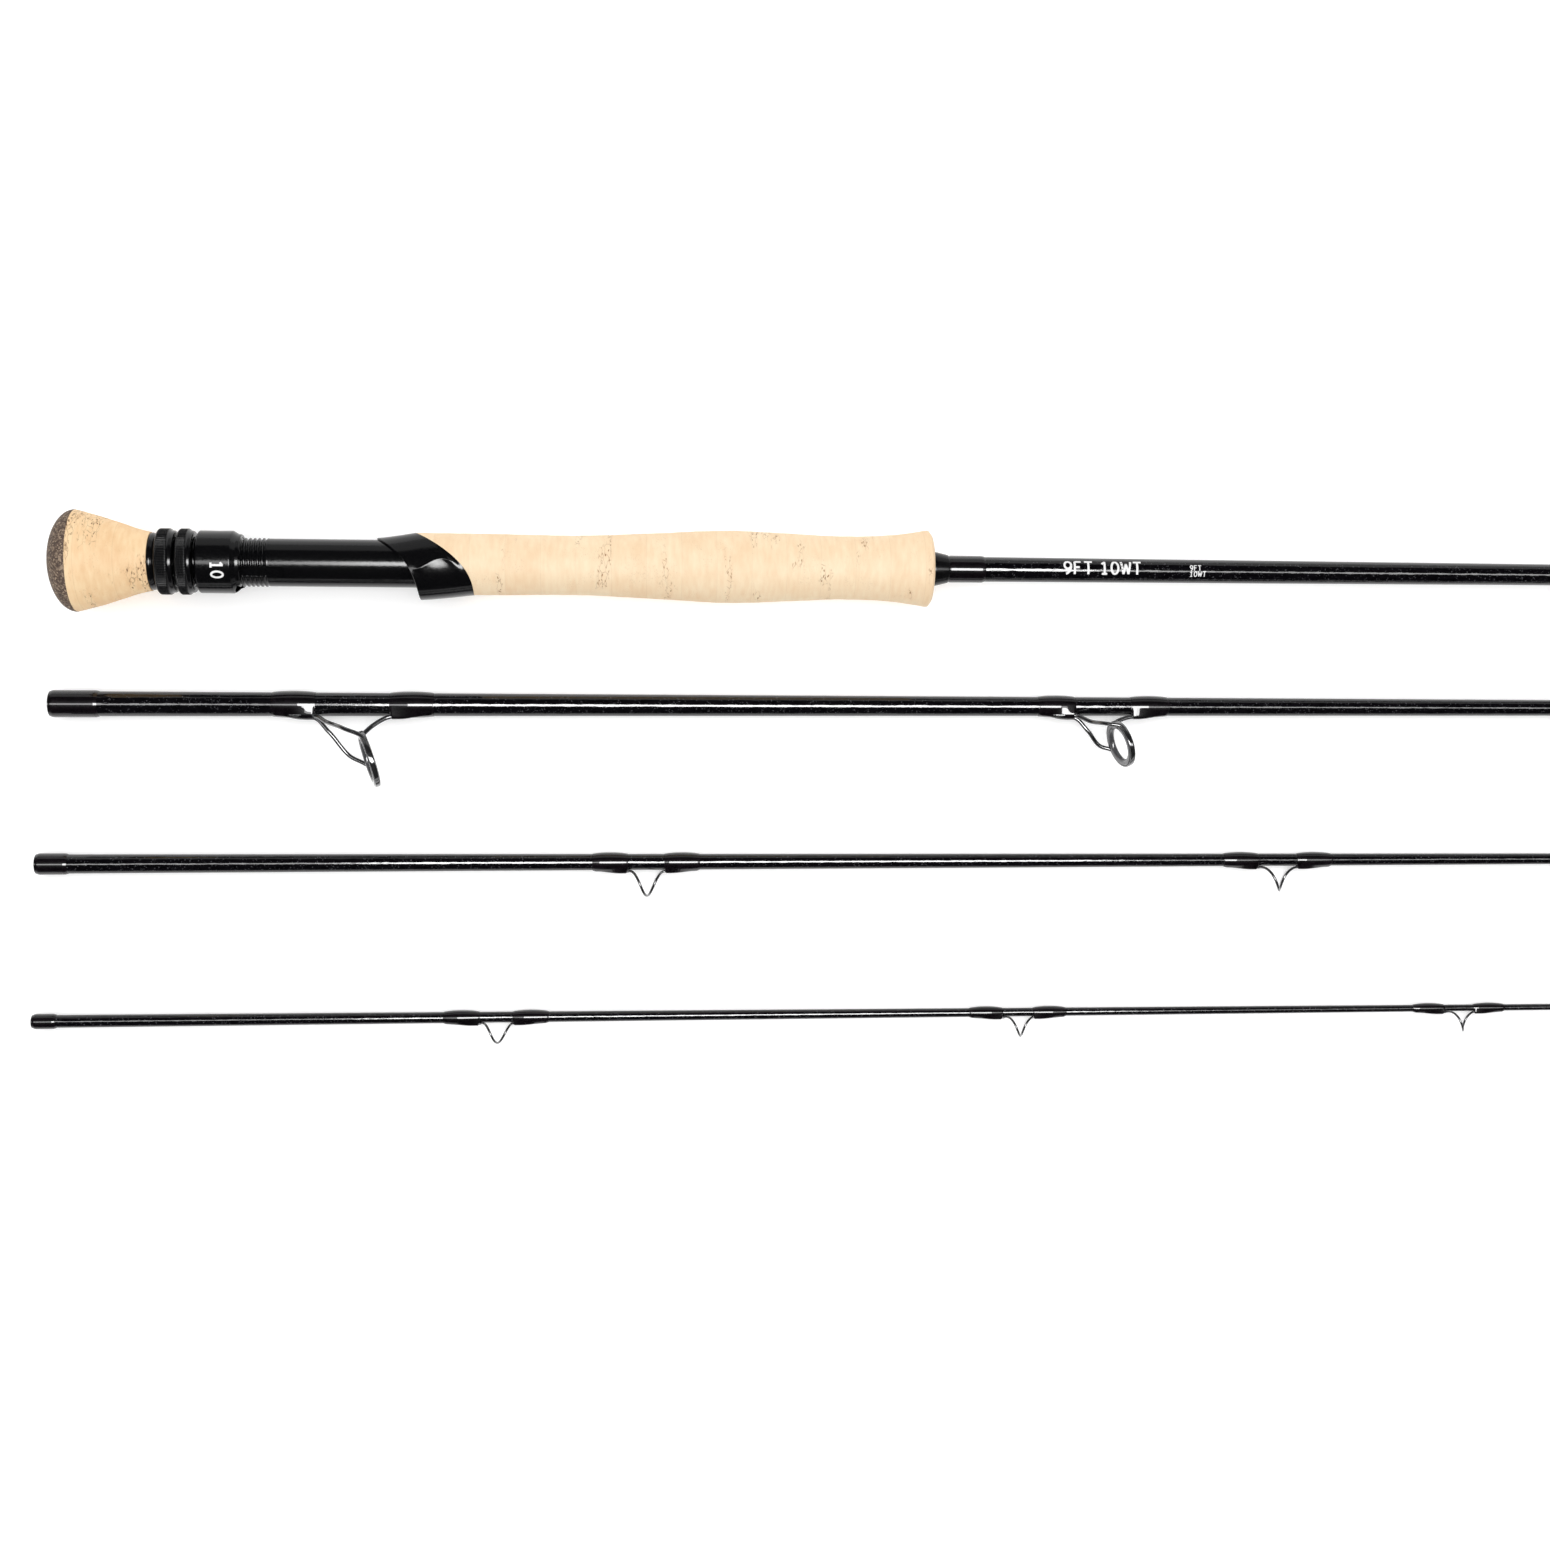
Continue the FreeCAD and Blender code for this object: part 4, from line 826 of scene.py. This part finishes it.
    def make_front_hood(self):
        """Sculpted sleeve between two slanted edges. Its rear radius grows towards the reel side,
        and it eases to the cork's radius at the front. A sharp crease, falling off by the
        exponential on both sides of its crest, runs slantwise over the top and fades out at the
        front. The rear rim is rounded by a quarter circle."""
        bore, front_radius, lip, lip_share = 8.63, 11.22, 0.28, 0.02
        crease_height, crease_width, pocket_end = 0.75, 0.2, (144.4, 145.0)
        share = np.linspace(0.0, 1.0, 80)[:, None]
        turn = around(400)[None, :]
        reel = (1 + np.cos(turn)) / 2
        least, growth, rear_middle = 9.25, 3.9, 10.4
        rear_radius = least + growth * reel**1.6
        rear = hood_edge("rear", rear_middle * np.cos(turn))
        front = hood_edge("front", GRIP_START_RADIUS * np.cos(turn))
        along = rear + (front - rear) * share
        radius = rear_radius + (front_radius - rear_radius) * share**1.25
        crest = np.radians(73.0 + 21.0 * rise(share, 0.0, 0.75) - 7.0 * rise(share, 0.75, 1.0))
        ridge = np.exp(-np.abs(turn - crest) / crease_width) * rise(share, 0.02, 0.25)
        radius = radius + crease_height * ridge * (1 - rise(share, 0.85, 1.0))
        edge_in = np.sqrt(np.clip(1 - np.clip(1 - share / lip_share, 0, 1)**2, 0, 1))
        radius = radius - lip * (1 - edge_in)
        inner_along = rear + (front - rear) * np.linspace(1.0, 0.0, 60)[:, None]
        deeper = np.maximum(foot_pocket(turn), bore) - bore
        inner = bore + deeper * (1 - rise(inner_along, *pocket_end))
        points = round_points(np.vstack((along, inner_along)), turn, np.vstack((radius, inner)))
        self.seat_piece("front_hood_shell", [shell(laid("butt", points), ring=True)],
                        "butt_section", "front_hood")


# ---------------------------------------------------------------- blanks and wraps


def body_of(section):
    """Name of the body that a section's pieces ride on."""
    return f"{section}_section"


class FLYROD_OT_blanks(bpy.types.Operator):
    """Build the four blanks, the ferrule wraps, the winding check and the wrap ahead of it"""
    bl_idname = "fly_rod.blanks"
    bl_label = "Blanks and Ferrules"

    def execute(self, context):
        mm = sizes_in_millimetres()
        for section in ROOTS:
            self.make_blank(section)
        for section, end in FERRULE_WRAPS.items():
            self.make_band(f"ferrule_wrap_{section}", section, 0.5, end, COATS[section])
        self.make_band("hosel_wrap", "butt", 324.14, 337.8, 0.34)
        self.make_check(mm)
        return {"FINISHED"}

    def make_blank(self, section):
        """Tapered tube: a straight taper outside, a socket at its butt end, and a thin wall along
        its spigot. Both rims are drawn in a little."""
        start = 9.42 if section == "butt" else 0.0
        butt_bore, root_wall, spigot_wall = 4.7, 1.04, 0.33
        along = np.concatenate((start + np.array((0.0, 0.12, 0.3)),
                                np.linspace(start + 6, SECTION_LENGTH - LANDS[section], 60),
                                [SECTION_LENGTH - 0.25, SECTION_LENGTH]))
        radius = blank_radius(section, along)
        radius[0] -= 0.15
        radius[-1] -= 0.12
        bore = radius[-1] - spigot_wall
        outline = list(zip(along, radius)) + [(SECTION_LENGTH, bore)]
        outline.append((SECTION_LENGTH - LANDS[section], bore))
        if section == "butt":
            outline.append((start, butt_bore))
        else:
            before = BEFORE[section]
            socket, depth = SPIGOTS[before] + CLEAR, LANDS[before] + SOCKET_SPARE
            outline += [(depth + 2, ROOTS[section] - root_wall), (depth, socket),
                        (start, socket)]
        piece(f"tapered_blank_{section}", [lathe(section, outline, 80)], body_of(section),
              [f"blank_{section}"], "carbon_blank")

    def make_band(self, name, section, start, end, coat):
        """Wrap all round the blank: its coat rises at both ends by the root of a smoothstep,
        like the side of a drop, and is level between."""
        along = np.linspace(start, end, 40)
        rear_slope, front_slope = (start - 0.25, start + 1.1), (end - 1.4, end + 0.12)
        depth = np.sqrt(np.clip(rise(along, *rear_slope), 0, 1))
        depth = depth * np.sqrt(np.clip(1 - rise(along, *front_slope), 0, 1))
        radius = blank_radius(section, along) + CLEAR + coat * depth
        inner = blank_radius(section, np.array((end, start))) + CLEAR
        outline = np.vstack((np.stack((along, radius), axis=1),
                             np.stack(((end, start), inner), axis=1)))
        piece(f"{name}_thread", [lathe(section, outline)], body_of(section), [name],
              "thread_wrap")

    def make_check(self, mm):
        """Turned collar against the grip that narrows to the wrap ahead, with eased corners."""
        start, end, outer = 317.34, 324.1, mm["check_radius"]
        bore = float(blank_radius("butt", GRIP[-1][0])) + CLEAR
        outline = eased([(start, bore), (start, outer), (318.9, outer), (end, 5.15),
                         (end, bore)], 0.5)
        piece("winding_check_cone", [lathe("butt", outline)], "butt_section",
              ["winding_check"], "check_rubber")


# ---------------------------------------------------------------- guides


def foot_height(section, along, thick):
    """Height of a wire's centre line where it lies on the blank."""
    return float(blank_radius(section, along)) + thick + CLEAR


def film_radius(angle, body, foot, thick):
    """Radius of a film stretched over the coated blank and the coated foot beside it: the hull
    of their two circles, seen from the blank's axis. It follows the foot's circle, then the line
    that touches both, then the blank's circle."""
    off = np.minimum(angle, TURN - angle)
    contact = np.arccos(np.clip((body - thick) / foot, -1.0, 1.0))
    touch = np.arctan2(thick * np.sin(contact), foot + thick * np.cos(contact))
    over = foot * np.cos(off) + np.sqrt(np.maximum(thick**2 - (foot * np.sin(off))**2, 0.0))
    line_between = body / np.cos(np.clip(contact - off, 0.0, 1.4))
    return np.where(off < touch, over, np.where(off < contact, line_between, body))


def foot_share(near):
    """How thick a ground foot is, as a share of the wire: thin at its toe, whole at the guide."""
    return 0.18 + 0.82 * rise(near, 0.08, 0.8)


def foot_line(section, ends, thick, guide_ahead, count=16, cover=1.5):
    """Centre line and thickness of a foot that lies on the blank, its toe covered by the last
    stretch of its wrap."""
    start, end = ends
    places = (np.linspace(start + cover, end, count, endpoint=False) if guide_ahead
              else np.linspace(start, end - cover, count + 1)[1:])
    near = (places - start) / (end - start)
    thickness = thick * foot_share(near if guide_ahead else 1 - near)
    height = blank_radius(section, places) + CLEAR + thickness
    return np.stack((places, 0 * places, height), axis=-1), thickness


def guide_wrap(name, section, ends, thick, half_width, coat, guide_ahead):
    """Thread wrap over a guide's foot, under a long drop of epoxy: the coat swells with a power
    of the sine of the share along it, and the film stands as high as the foot, which is whole
    next to the guide and thin at its toe."""
    start, end = ends
    share = np.linspace(0.0, 1.0, 64)[:, None]
    along = start + (end - start) * share
    turn = around(112)[None, :]
    blank = blank_radius(section, along) + CLEAR
    drop = np.sin(math.pi * share) ** 0.6
    body = blank + coat * 1.6 * drop
    near = share if guide_ahead else 1 - share
    grown = foot_share(near)
    lift = rise(near, 0.0, 0.12) * np.sqrt(np.clip((1 - near) / 0.06, 0.0, 1.0))
    top = body + np.clip(blank + 2 * thick * grown + coat * 0.8 - body, 0.0, None) * lift
    reach = half_width * grown + coat * 0.6
    radius = film_radius(turn, body, top - reach, reach)
    inner = np.vstack((blank[::-7], blank[:1])) + 0 * turn
    places = np.vstack((along[::-7], along[:1]))
    points = round_points(np.vstack((along, places)), turn, np.vstack((radius, inner)))
    piece(f"{name}_thread", [shell(laid(section, points), ring=True)], body_of(section), [name],
          "thread_wrap", sharp=60.0)


class FLYROD_OT_snakes(bpy.types.Operator):
    """Build the eight snake guides and their wraps"""
    bl_idname = "fly_rod.snakes"
    bl_label = "Snake Guides"

    def execute(self, context):
        for name, section, middle, wrap, gap, reach, thick in SNAKES:
            rear = (middle - gap / 2 - wrap, middle - gap / 2)
            front = (middle + gap / 2, middle + gap / 2 + wrap)
            foot = foot_height(section, rear[0], thick)
            self.make_snake(name, section, rear, front, foot, (reach - thick - foot) / 2, thick)
            coat = COATS[section]
            guide_wrap(f"{name}_rear_wrap", section, rear, thick, thick, coat, True)
            guide_wrap(f"{name}_front_wrap", section, front, thick, thick, coat, False)
        return {"FINISHED"}

    def make_snake(self, name, section, rear, front, foot, radius, thick):
        """One turn of a helix standing on the blank: height foot plus radius times one minus the
        cosine of the turn, side radius times its sine, while the place moves along. The turn
        runs slower near the feet, by a sine of the share. The feet lie along the blank and thin
        out to their tips."""
        slowing, span = 0.2, 0.97
        middle, half_gap = (rear[1] + front[0]) / 2, (front[0] - rear[1]) / 2
        s = np.linspace(0.0, 1.0, 120)
        turn = TURN * (s - np.sin(TURN * s) / TURN * slowing)
        along = middle + half_gap * (2 * s - 1) * span
        loop = np.stack((along, radius * np.sin(turn), foot + radius * (1 - np.cos(turn))),
                        axis=-1)
        back, back_thick = foot_line(section, rear, thick, True)
        ahead, ahead_thick = foot_line(section, front, thick, False)
        path = np.vstack((back, loop, ahead))
        away = path * (0, 1, 1) - (0, 0, foot + radius)
        thickness = np.concatenate((back_thick, np.full(len(loop), thick), ahead_thick))
        piece(f"{name}_loop", [wire(section, path, thickness, away)], body_of(section), [name],
              "guide_wire")


# The large rings lean back towards the butt: their axis, and the way up in their plane.
LEAN = math.radians(21.0)
RING_AXIS = np.array((math.cos(LEAN), 0.0, -math.sin(LEAN)))
RING_UP = np.array((math.sin(LEAN), 0.0, math.cos(LEAN)))
SIDEWAYS = np.array((0.0, 1.0, 0.0))


class FLYROD_OT_strippers(bpy.types.Operator):
    """Build the two stripping guides: wire frames, ceramic rings and wraps"""
    bl_idname = "fly_rod.strippers"
    bl_label = "Stripping Guides"

    thick = 0.85
    wall = 0.75

    def execute(self, context):
        thick = self.thick
        for name, section, rear, front, along, above, outer in STRIPPERS:
            foot, centre = foot_height(section, rear[0], thick), np.array((along, 0.0, above))
            self.make_frame(name, section, rear, front, centre, outer, foot)
            self.make_ring(name, section, centre, outer)
            coat = COATS[section]
            guide_wrap(f"{name}_rear_wrap", section, rear, thick, thick * 2.5, coat, True)
            guide_wrap(f"{name}_front_wrap", section, front, thick, thick, coat, False)
        return {"FINISHED"}

    def round_ring(self, section, centre, outline, columns=128):
        """An outline of (along the ring's axis, radius) points carried round the leaning axis."""
        depth, radius = np.array(outline, float).T[:, :, None, None]
        turn = around(columns)[:, None]
        rim = np.cos(turn) * RING_UP + np.sin(turn) * SIDEWAYS
        return shell(laid(section, centre + depth * RING_AXIS + radius * rim), ring=True)

    def make_ring(self, name, section, centre, outer):
        """Ceramic ring with a fully rounded bore: a D section, flat on its seat."""
        seat, bore, half, bulge, edge = outer - 0.77, outer - 3.07, 1.18, 1.3, 0.25
        s = np.linspace(0.0, math.pi, 25)
        rounded = np.stack((-half * np.cos(s), bore + bulge - bulge * np.sin(s)), axis=-1)
        outline = np.vstack((rounded, [(half, seat - edge), (half - edge, seat),
                                       (edge - half, seat), (-half, seat - edge)]))
        piece(f"{name}_ceramic", [self.round_ring(section, centre, outline)], body_of(section),
              [f"{name}_ring"], "ceramic")

    def make_frame(self, name, section, rear, front, centre, outer, foot):
        """Round holder for the ring, on three bent wires. Two legs lie side by side in the rear
        wrap, bow out through a knee and an elbow and run thinning along the holder's sides. The
        third drops from the bottom of the holder to the front wrap."""
        thick, wall, taper = self.thick, self.wall, 26
        rim = outer - wall / 2
        shells = [self.round_ring(section, centre, eased(
            [(-1.0, outer - wall), (-1.0, outer), (1.0, outer), (1.0, outer - wall)], 0.7))]
        for side in (-1, 1):
            spread = thick * 1.02 * side
            rim_angle = np.radians((104.0, 88.0, 70.0))[:, None]
            along_rim = (centre + np.cos(rim_angle) * rim * RING_UP
                         + np.sin(rim_angle) * rim * side * SIDEWAYS)
            joint = along_rim[0]
            knee = (rear[1] + 4.6, spread * 3.6, foot + 4.4)
            elbow = ((knee[0] + joint[0]) / 2, rim * 0.88 * side, (knee[2] + joint[2]) / 2 + 1.0)
            toe, toe_thick = foot_line(section, (rear[0], rear[1] - 2.0), thick, True)
            toe[:, 1] = spread * toe_thick / thick
            arch = bent([(rear[1] - 2, spread, foot), (rear[1] - 1, spread, foot), knee, elbow,
                         *along_rim], 96)
            path = np.vstack((toe, arch))
            thickness = np.concatenate((toe_thick, np.full(len(arch) - taper, thick),
                                        thick * np.linspace(1.0, 0.45, taper)))
            shells.append(wire(section, path, thickness * 0.92, (-1.0, 0.2 * side, 0.6)))
        near = centre - RING_UP * rim
        bend = (near[0] + (front[0] - near[0]) * 0.45, 0, foot + (near[2] - foot) * 0.42)
        toe, toe_thick = foot_line(section, (front[0] + 3.0, front[1]), thick, False)
        arch = bent([near, bend, (front[0] + 0.5, 0, foot + 0.1), (front[0] + 3, 0, foot)], 60)
        thickness = np.concatenate((np.full(len(arch), thick), toe_thick))
        shells.append(wire(section, np.vstack((arch, toe)), thickness, SIDEWAYS))
        piece(f"{name}_wire", shells, body_of(section), [f"{name}_frame"], "guide_wire")


class FLYROD_OT_tip_top(bpy.types.Operator):
    """Build the tip-top: a tube over the end of the tip, with a wire loop and its braces"""
    bl_idname = "fly_rod.tip_top"
    bl_label = "Tip-Top"

    def execute(self, context):
        # The tube is turned, the loop is a circle carried round a leaning circle, and the three
        # braces are wires bent from the tube to the loop.
        outer, bore, hole = 1.25, 0.92, 0.5
        start, stop, end = SECTION_LENGTH - 11.5, SECTION_LENGTH + 0.1, SECTION_LENGTH + 0.8
        tube = lathe("tip", eased([(start, bore), (start, outer), (end, outer), (end, hole),
                                   (stop, hole), (stop, bore)], 0.15), 48)
        centre, rim, thick = np.array((SECTION_LENGTH + 4.2, 0.0, 3.2)), 3.05, 0.55
        turn, small = around(96)[:, None], around(20)[None, :, None]
        tall, axis = np.array((0.33, 0.0, 0.944)), np.array((0.944, 0.0, -0.33))
        out = np.cos(turn) * tall + np.sin(turn) * SIDEWAYS
        ring = (centre + out[:, None] * (rim + thick * np.cos(small))
                + axis * thick * np.sin(small))
        shells = [tube, shell(laid("tip", ring), ring=True)]
        for side in (-1, 1):
            path = bent([(start + 3, side * 1.03, 0.75), (end - 1, side * 1.45, 1.25),
                         centre + (-0.1, side * rim, 0)], 40)
            shells.append(wire("tip", path, thick * 0.85, (-0.4, 0.0, 1.0)))
        path = bent([(end - 1.2, 0, 0.1), (end + 1.5, 0, 0.0), centre - tall * rim], 30)
        shells.append(wire("tip", path, thick * 0.85, SIDEWAYS))
        piece("tip_top_loop", shells, "tip_section", ["tip_top"], "guide_wire")
        return {"FINISHED"}


# ---------------------------------------------------------------- printed marks


def arc(middle, radii, start, end, count=20):
    """Points of an ellipse's arc, angles in degrees."""
    angle = np.radians(np.linspace(start, end, count))
    return np.stack((middle[0] + radii[0] * np.cos(angle), middle[1] + radii[1] * np.sin(angle)),
                    axis=-1)


def line(*points):
    """Straight strokes through points, five steps to each."""
    points = np.array(points, float)
    spans = np.linspace(points[:-1], points[1:], 5)
    return spans.transpose(1, 0, 2).reshape(-1, 2)


# Strokes of the letters and figures, in units of their height from the lower left corner.
GLYPHS = {
    "0": [arc((0.3, 0.5), (0.26, 0.46), 90, 450, 40)],
    "1": [line((0.08, 0.78), (0.3, 0.96)), line((0.3, 1.0), (0.3, 0.04)),
          line((0.1, 0.04), (0.5, 0.04))],
    "9": [arc((0.3, 0.68), (0.25, 0.28), 0, 360, 30), arc((0.1, 0.68), (0.45, 0.66), -80, 0, 16)],
    "f": [line((0.05, 0.0), (0.05, 0.97), (0.52, 0.97)), line((0.05, 0.52), (0.42, 0.52))],
    "t": [line((0.0, 0.97), (0.6, 0.97)), line((0.3, 0.97), (0.3, 0.0))],
    "w": [line((0.0, 1.0), (0.17, 0.03), (0.36, 0.8), (0.55, 0.03), (0.72, 1.0))],
}


def print_on(section, radius_at, text, start, angle, height, weight, turned=False):
    """Ribbons on a round surface: each stroke's points are carried to (place, angle), widened to
    both sides by half the stroke's weight, and given a paint's thickness. Turned text stands
    along the rod and reads round it."""
    off, paint = 0.012, 0.03
    space_step, letter_step, wide_step = 0.45, 0.78, 0.92
    shells, pen = [], 0.0
    for letter in text:
        if letter == " ":
            pen += space_step
            continue
        for stroke in GLYPHS[letter]:
            step = np.gradient(stroke, axis=0)
            normal = np.stack((-step[:, 1], step[:, 0]), axis=-1)
            normal /= np.maximum(np.linalg.norm(normal, axis=1, keepdims=True), 1e-9)
            corners = []
            for side, lift in ((-1, 0.0), (1, 0.0), (1, paint), (-1, paint)):
                flat = (stroke + (pen, 0)) * height + normal * side * weight / 2
                reading, rising = flat[:, 0], flat[:, 1]
                place = start + (rising if turned else reading)
                radius = radius_at(place) + off + lift
                bearing = angle + (-reading if turned else rising) / radius
                corners.append(round_points(place, bearing, radius))
            shells.append(shell(laid(section, np.stack(corners, axis=1))))
        pen += wide_step if letter == "w" else letter_step
    return shells


class FLYROD_OT_marks(bpy.types.Operator):
    """Print the plain line-weight number and the plain length and weight marks"""
    bl_idname = "fly_rod.marks"
    bl_label = "Printed Marks"

    def execute(self, context):
        hood = bpy.context.scene.fly_rod_sizes.hood_radius / MM
        number = print_on("butt", lambda place: hood + 0 * place, "10", 58.0,
                          math.radians(85.0), 4.4, 0.75, turned=True)
        piece("line_weight_number", number, "sliding_hood_body", None, "black_anodised", "print")

        def blank(place):
            return blank_radius("butt", place)

        shells = []
        for text, place, angle, height, weight in (
                ("9ft 10wt", 367.0, 66.0, 5.0, 0.8), ("9ft", 415.0, 88.0, 2.0, 0.34),
                ("10wt", 415.0, 58.0, 2.0, 0.34)):
            shells += print_on("butt", blank, text, place, math.radians(angle), height, weight)
        piece("length_and_weight_marks", shells, "butt_section", None, "carbon_blank", "print")
        return {"FINISHED"}


# ---------------------------------------------------------------- finishes and stage


class FLYROD_OT_finishes(bpy.types.Operator):
    """Make the materials, and put cork on the arbors that stay as modelled"""
    bl_idname = "fly_rod.finishes"
    bl_label = "Finishes"

    def execute(self, context):
        FINISHES.update(make_finishes(context.scene.fly_rod_looks))
        for node in ("seat_arbor_rear", "seat_arbor_front"):
            thing = frame["nodes"][node]
            thing.data.materials.clear()
            thing.data.materials.append(FINISHES["arbor"])
        return {"FINISHED"}


class FLYROD_OT_stage(bpy.types.Operator):
    """Build the pale floor, the lights and the camera"""
    bl_idname = "fly_rod.stage"
    bl_label = "Stage"

    camera_height = 0.735
    camera_tilt = math.radians(4.5)
    camera_lens = 45.5
    camera_sensor = 36.0
    past_cap = 0.203
    beside_row = 0.0023
    # name, place, turn about X in degrees, size, power
    key = ("key", (0.0, 0.42, 1.5), -14.0, (3.2, 1.3), 9.0)
    mirrored = (("overhead_softbox", (0.0, -0.12, 1.5), 0.0, (0.85, 0.50), 30.0),
                ("overhead_strip", (0.0, -0.12, 1.52), 0.0, (3.4, 0.32), 24.0),
                ("back_wall", (0.0, 1.7, 0.5), -75.0, (3.4, 1.0), 7.0))

    def execute(self, context):
        self.make_floor()
        self.make_camera(context)
        self.make_surround(context)
        self.make_lights(context)
        return {"FINISHED"}

    def make_floor(self):
        """Flat pale square with a faint glow of its own, which keeps shadows light."""
        reach = 6.0
        mesh = bpy.data.meshes.new("floor")
        corners = [(-reach, -reach, 0), (reach, -reach, 0), (reach, reach, 0), (-reach, reach, 0)]
        mesh.from_pydata(corners, [], [(0, 1, 2, 3)])
        material, tree, shader, place = new_finish(
            "floor_finish", Roughness=0.55, Emission_Color=grey(1.0), Emission_Strength=0.22)
        noise = add_node(tree, "ShaderNodeTexNoise", {"Vector": place, "Scale": 40.0})
        shade = ramp(tree, noise.outputs["Fac"], ((0.3, grey(0.90)), (0.7, grey(0.92))))
        tree.links.new(shade, shader.inputs["Base Color"])
        mesh.materials.append(material)
        floor = bpy.data.objects.new("floor", mesh)
        bpy.context.scene.collection.objects.link(floor)

    def make_camera(self, context):
        """The camera stands over the grip and leans towards the tips."""
        data = bpy.data.cameras.new("camera")
        data.lens = self.camera_lens
        data.sensor_width = self.camera_sensor
        camera = bpy.data.objects.new("camera", data)
        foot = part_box("butt_cap")[0][0] + self.past_cap
        camera.location = (foot, self.beside_row, self.camera_height)
        camera.rotation_euler = (0.0, -self.camera_tilt, 0.0)
        context.scene.collection.objects.link(camera)
        context.scene.camera = camera

    def make_lights(self, context):
        """A soft key light shapes the matt surfaces and isn't mirrored. The gloss shows only a
        softbox and a dimmer strip overhead and a wall behind, which don't light matt surfaces."""
        context.scene.view_settings.view_transform = "Standard"
        self.add_light(*self.key).visible_glossy = False
        for light in self.mirrored:
            self.add_light(*light).visible_diffuse = False

    def make_surround(self, context):
        """Even light for matt surfaces, white where the camera looks past the floor, and nothing
        in the mirrored surround."""
        world = bpy.data.worlds.new("studio")
        world.use_nodes = True
        tree = world.node_tree
        seen = add_node(tree, "ShaderNodeLightPath").outputs["Is Camera Ray"]
        shade = add_node(tree, "ShaderNodeMix", {0: seen, 6: grey(1.03), 7: grey(1.0)},
                         data_type="RGBA").outputs[2]
        tree.links.new(shade, tree.nodes["Background"].inputs["Color"])
        world.cycles_visibility.glossy = False
        context.scene.world = world

    def add_light(self, name, place, turn, size, power):
        """Area light that faces down, turned about X."""
        data = bpy.data.lights.new(name, "AREA")
        data.shape = "RECTANGLE"
        data.size, data.size_y = size
        data.energy = power
        light = bpy.data.objects.new(name, data)
        light.location = place
        light.rotation_euler = (math.radians(turn), 0.0, 0.0)
        bpy.context.scene.collection.objects.link(light)
        return light


OPERATORS = (FLYROD_OT_finishes, FLYROD_OT_corks, FLYROD_OT_seat, FLYROD_OT_blanks,
             FLYROD_OT_snakes, FLYROD_OT_strippers, FLYROD_OT_tip_top, FLYROD_OT_marks,
             FLYROD_OT_stage)


class FLYROD_PT_panel(bpy.types.Panel):
    """Sizes, colours and build steps of the fly rod"""
    bl_label = "Fly Rod"
    bl_idname = "FLYROD_PT_panel"
    bl_space_type = "VIEW_3D"
    bl_region_type = "UI"
    bl_category = "Fly Rod"

    def draw(self, context):
        layout = self.layout
        for group in (context.scene.fly_rod_sizes, context.scene.fly_rod_looks):
            box = layout.box()
            for name in type(group).__annotations__:
                box.prop(group, name)
        for operator in OPERATORS:
            layout.operator(operator.bl_idname)


CLASSES = (FlyRodSizes, FlyRodLooks, *OPERATORS, FLYROD_PT_panel)


def register():
    for cls in CLASSES:
        bpy.utils.register_class(cls)
    bpy.types.Scene.fly_rod_sizes = PointerProperty(type=FlyRodSizes)
    bpy.types.Scene.fly_rod_looks = PointerProperty(type=FlyRodLooks)


def unregister():
    del bpy.types.Scene.fly_rod_looks
    del bpy.types.Scene.fly_rod_sizes
    for cls in reversed(CLASSES):
        bpy.utils.unregister_class(cls)


def main():
    register()
    for operator in OPERATORS:
        group, name = operator.bl_idname.split(".")
        getattr(getattr(bpy.ops, group), name)()


if __name__ == "__main__":
    main()
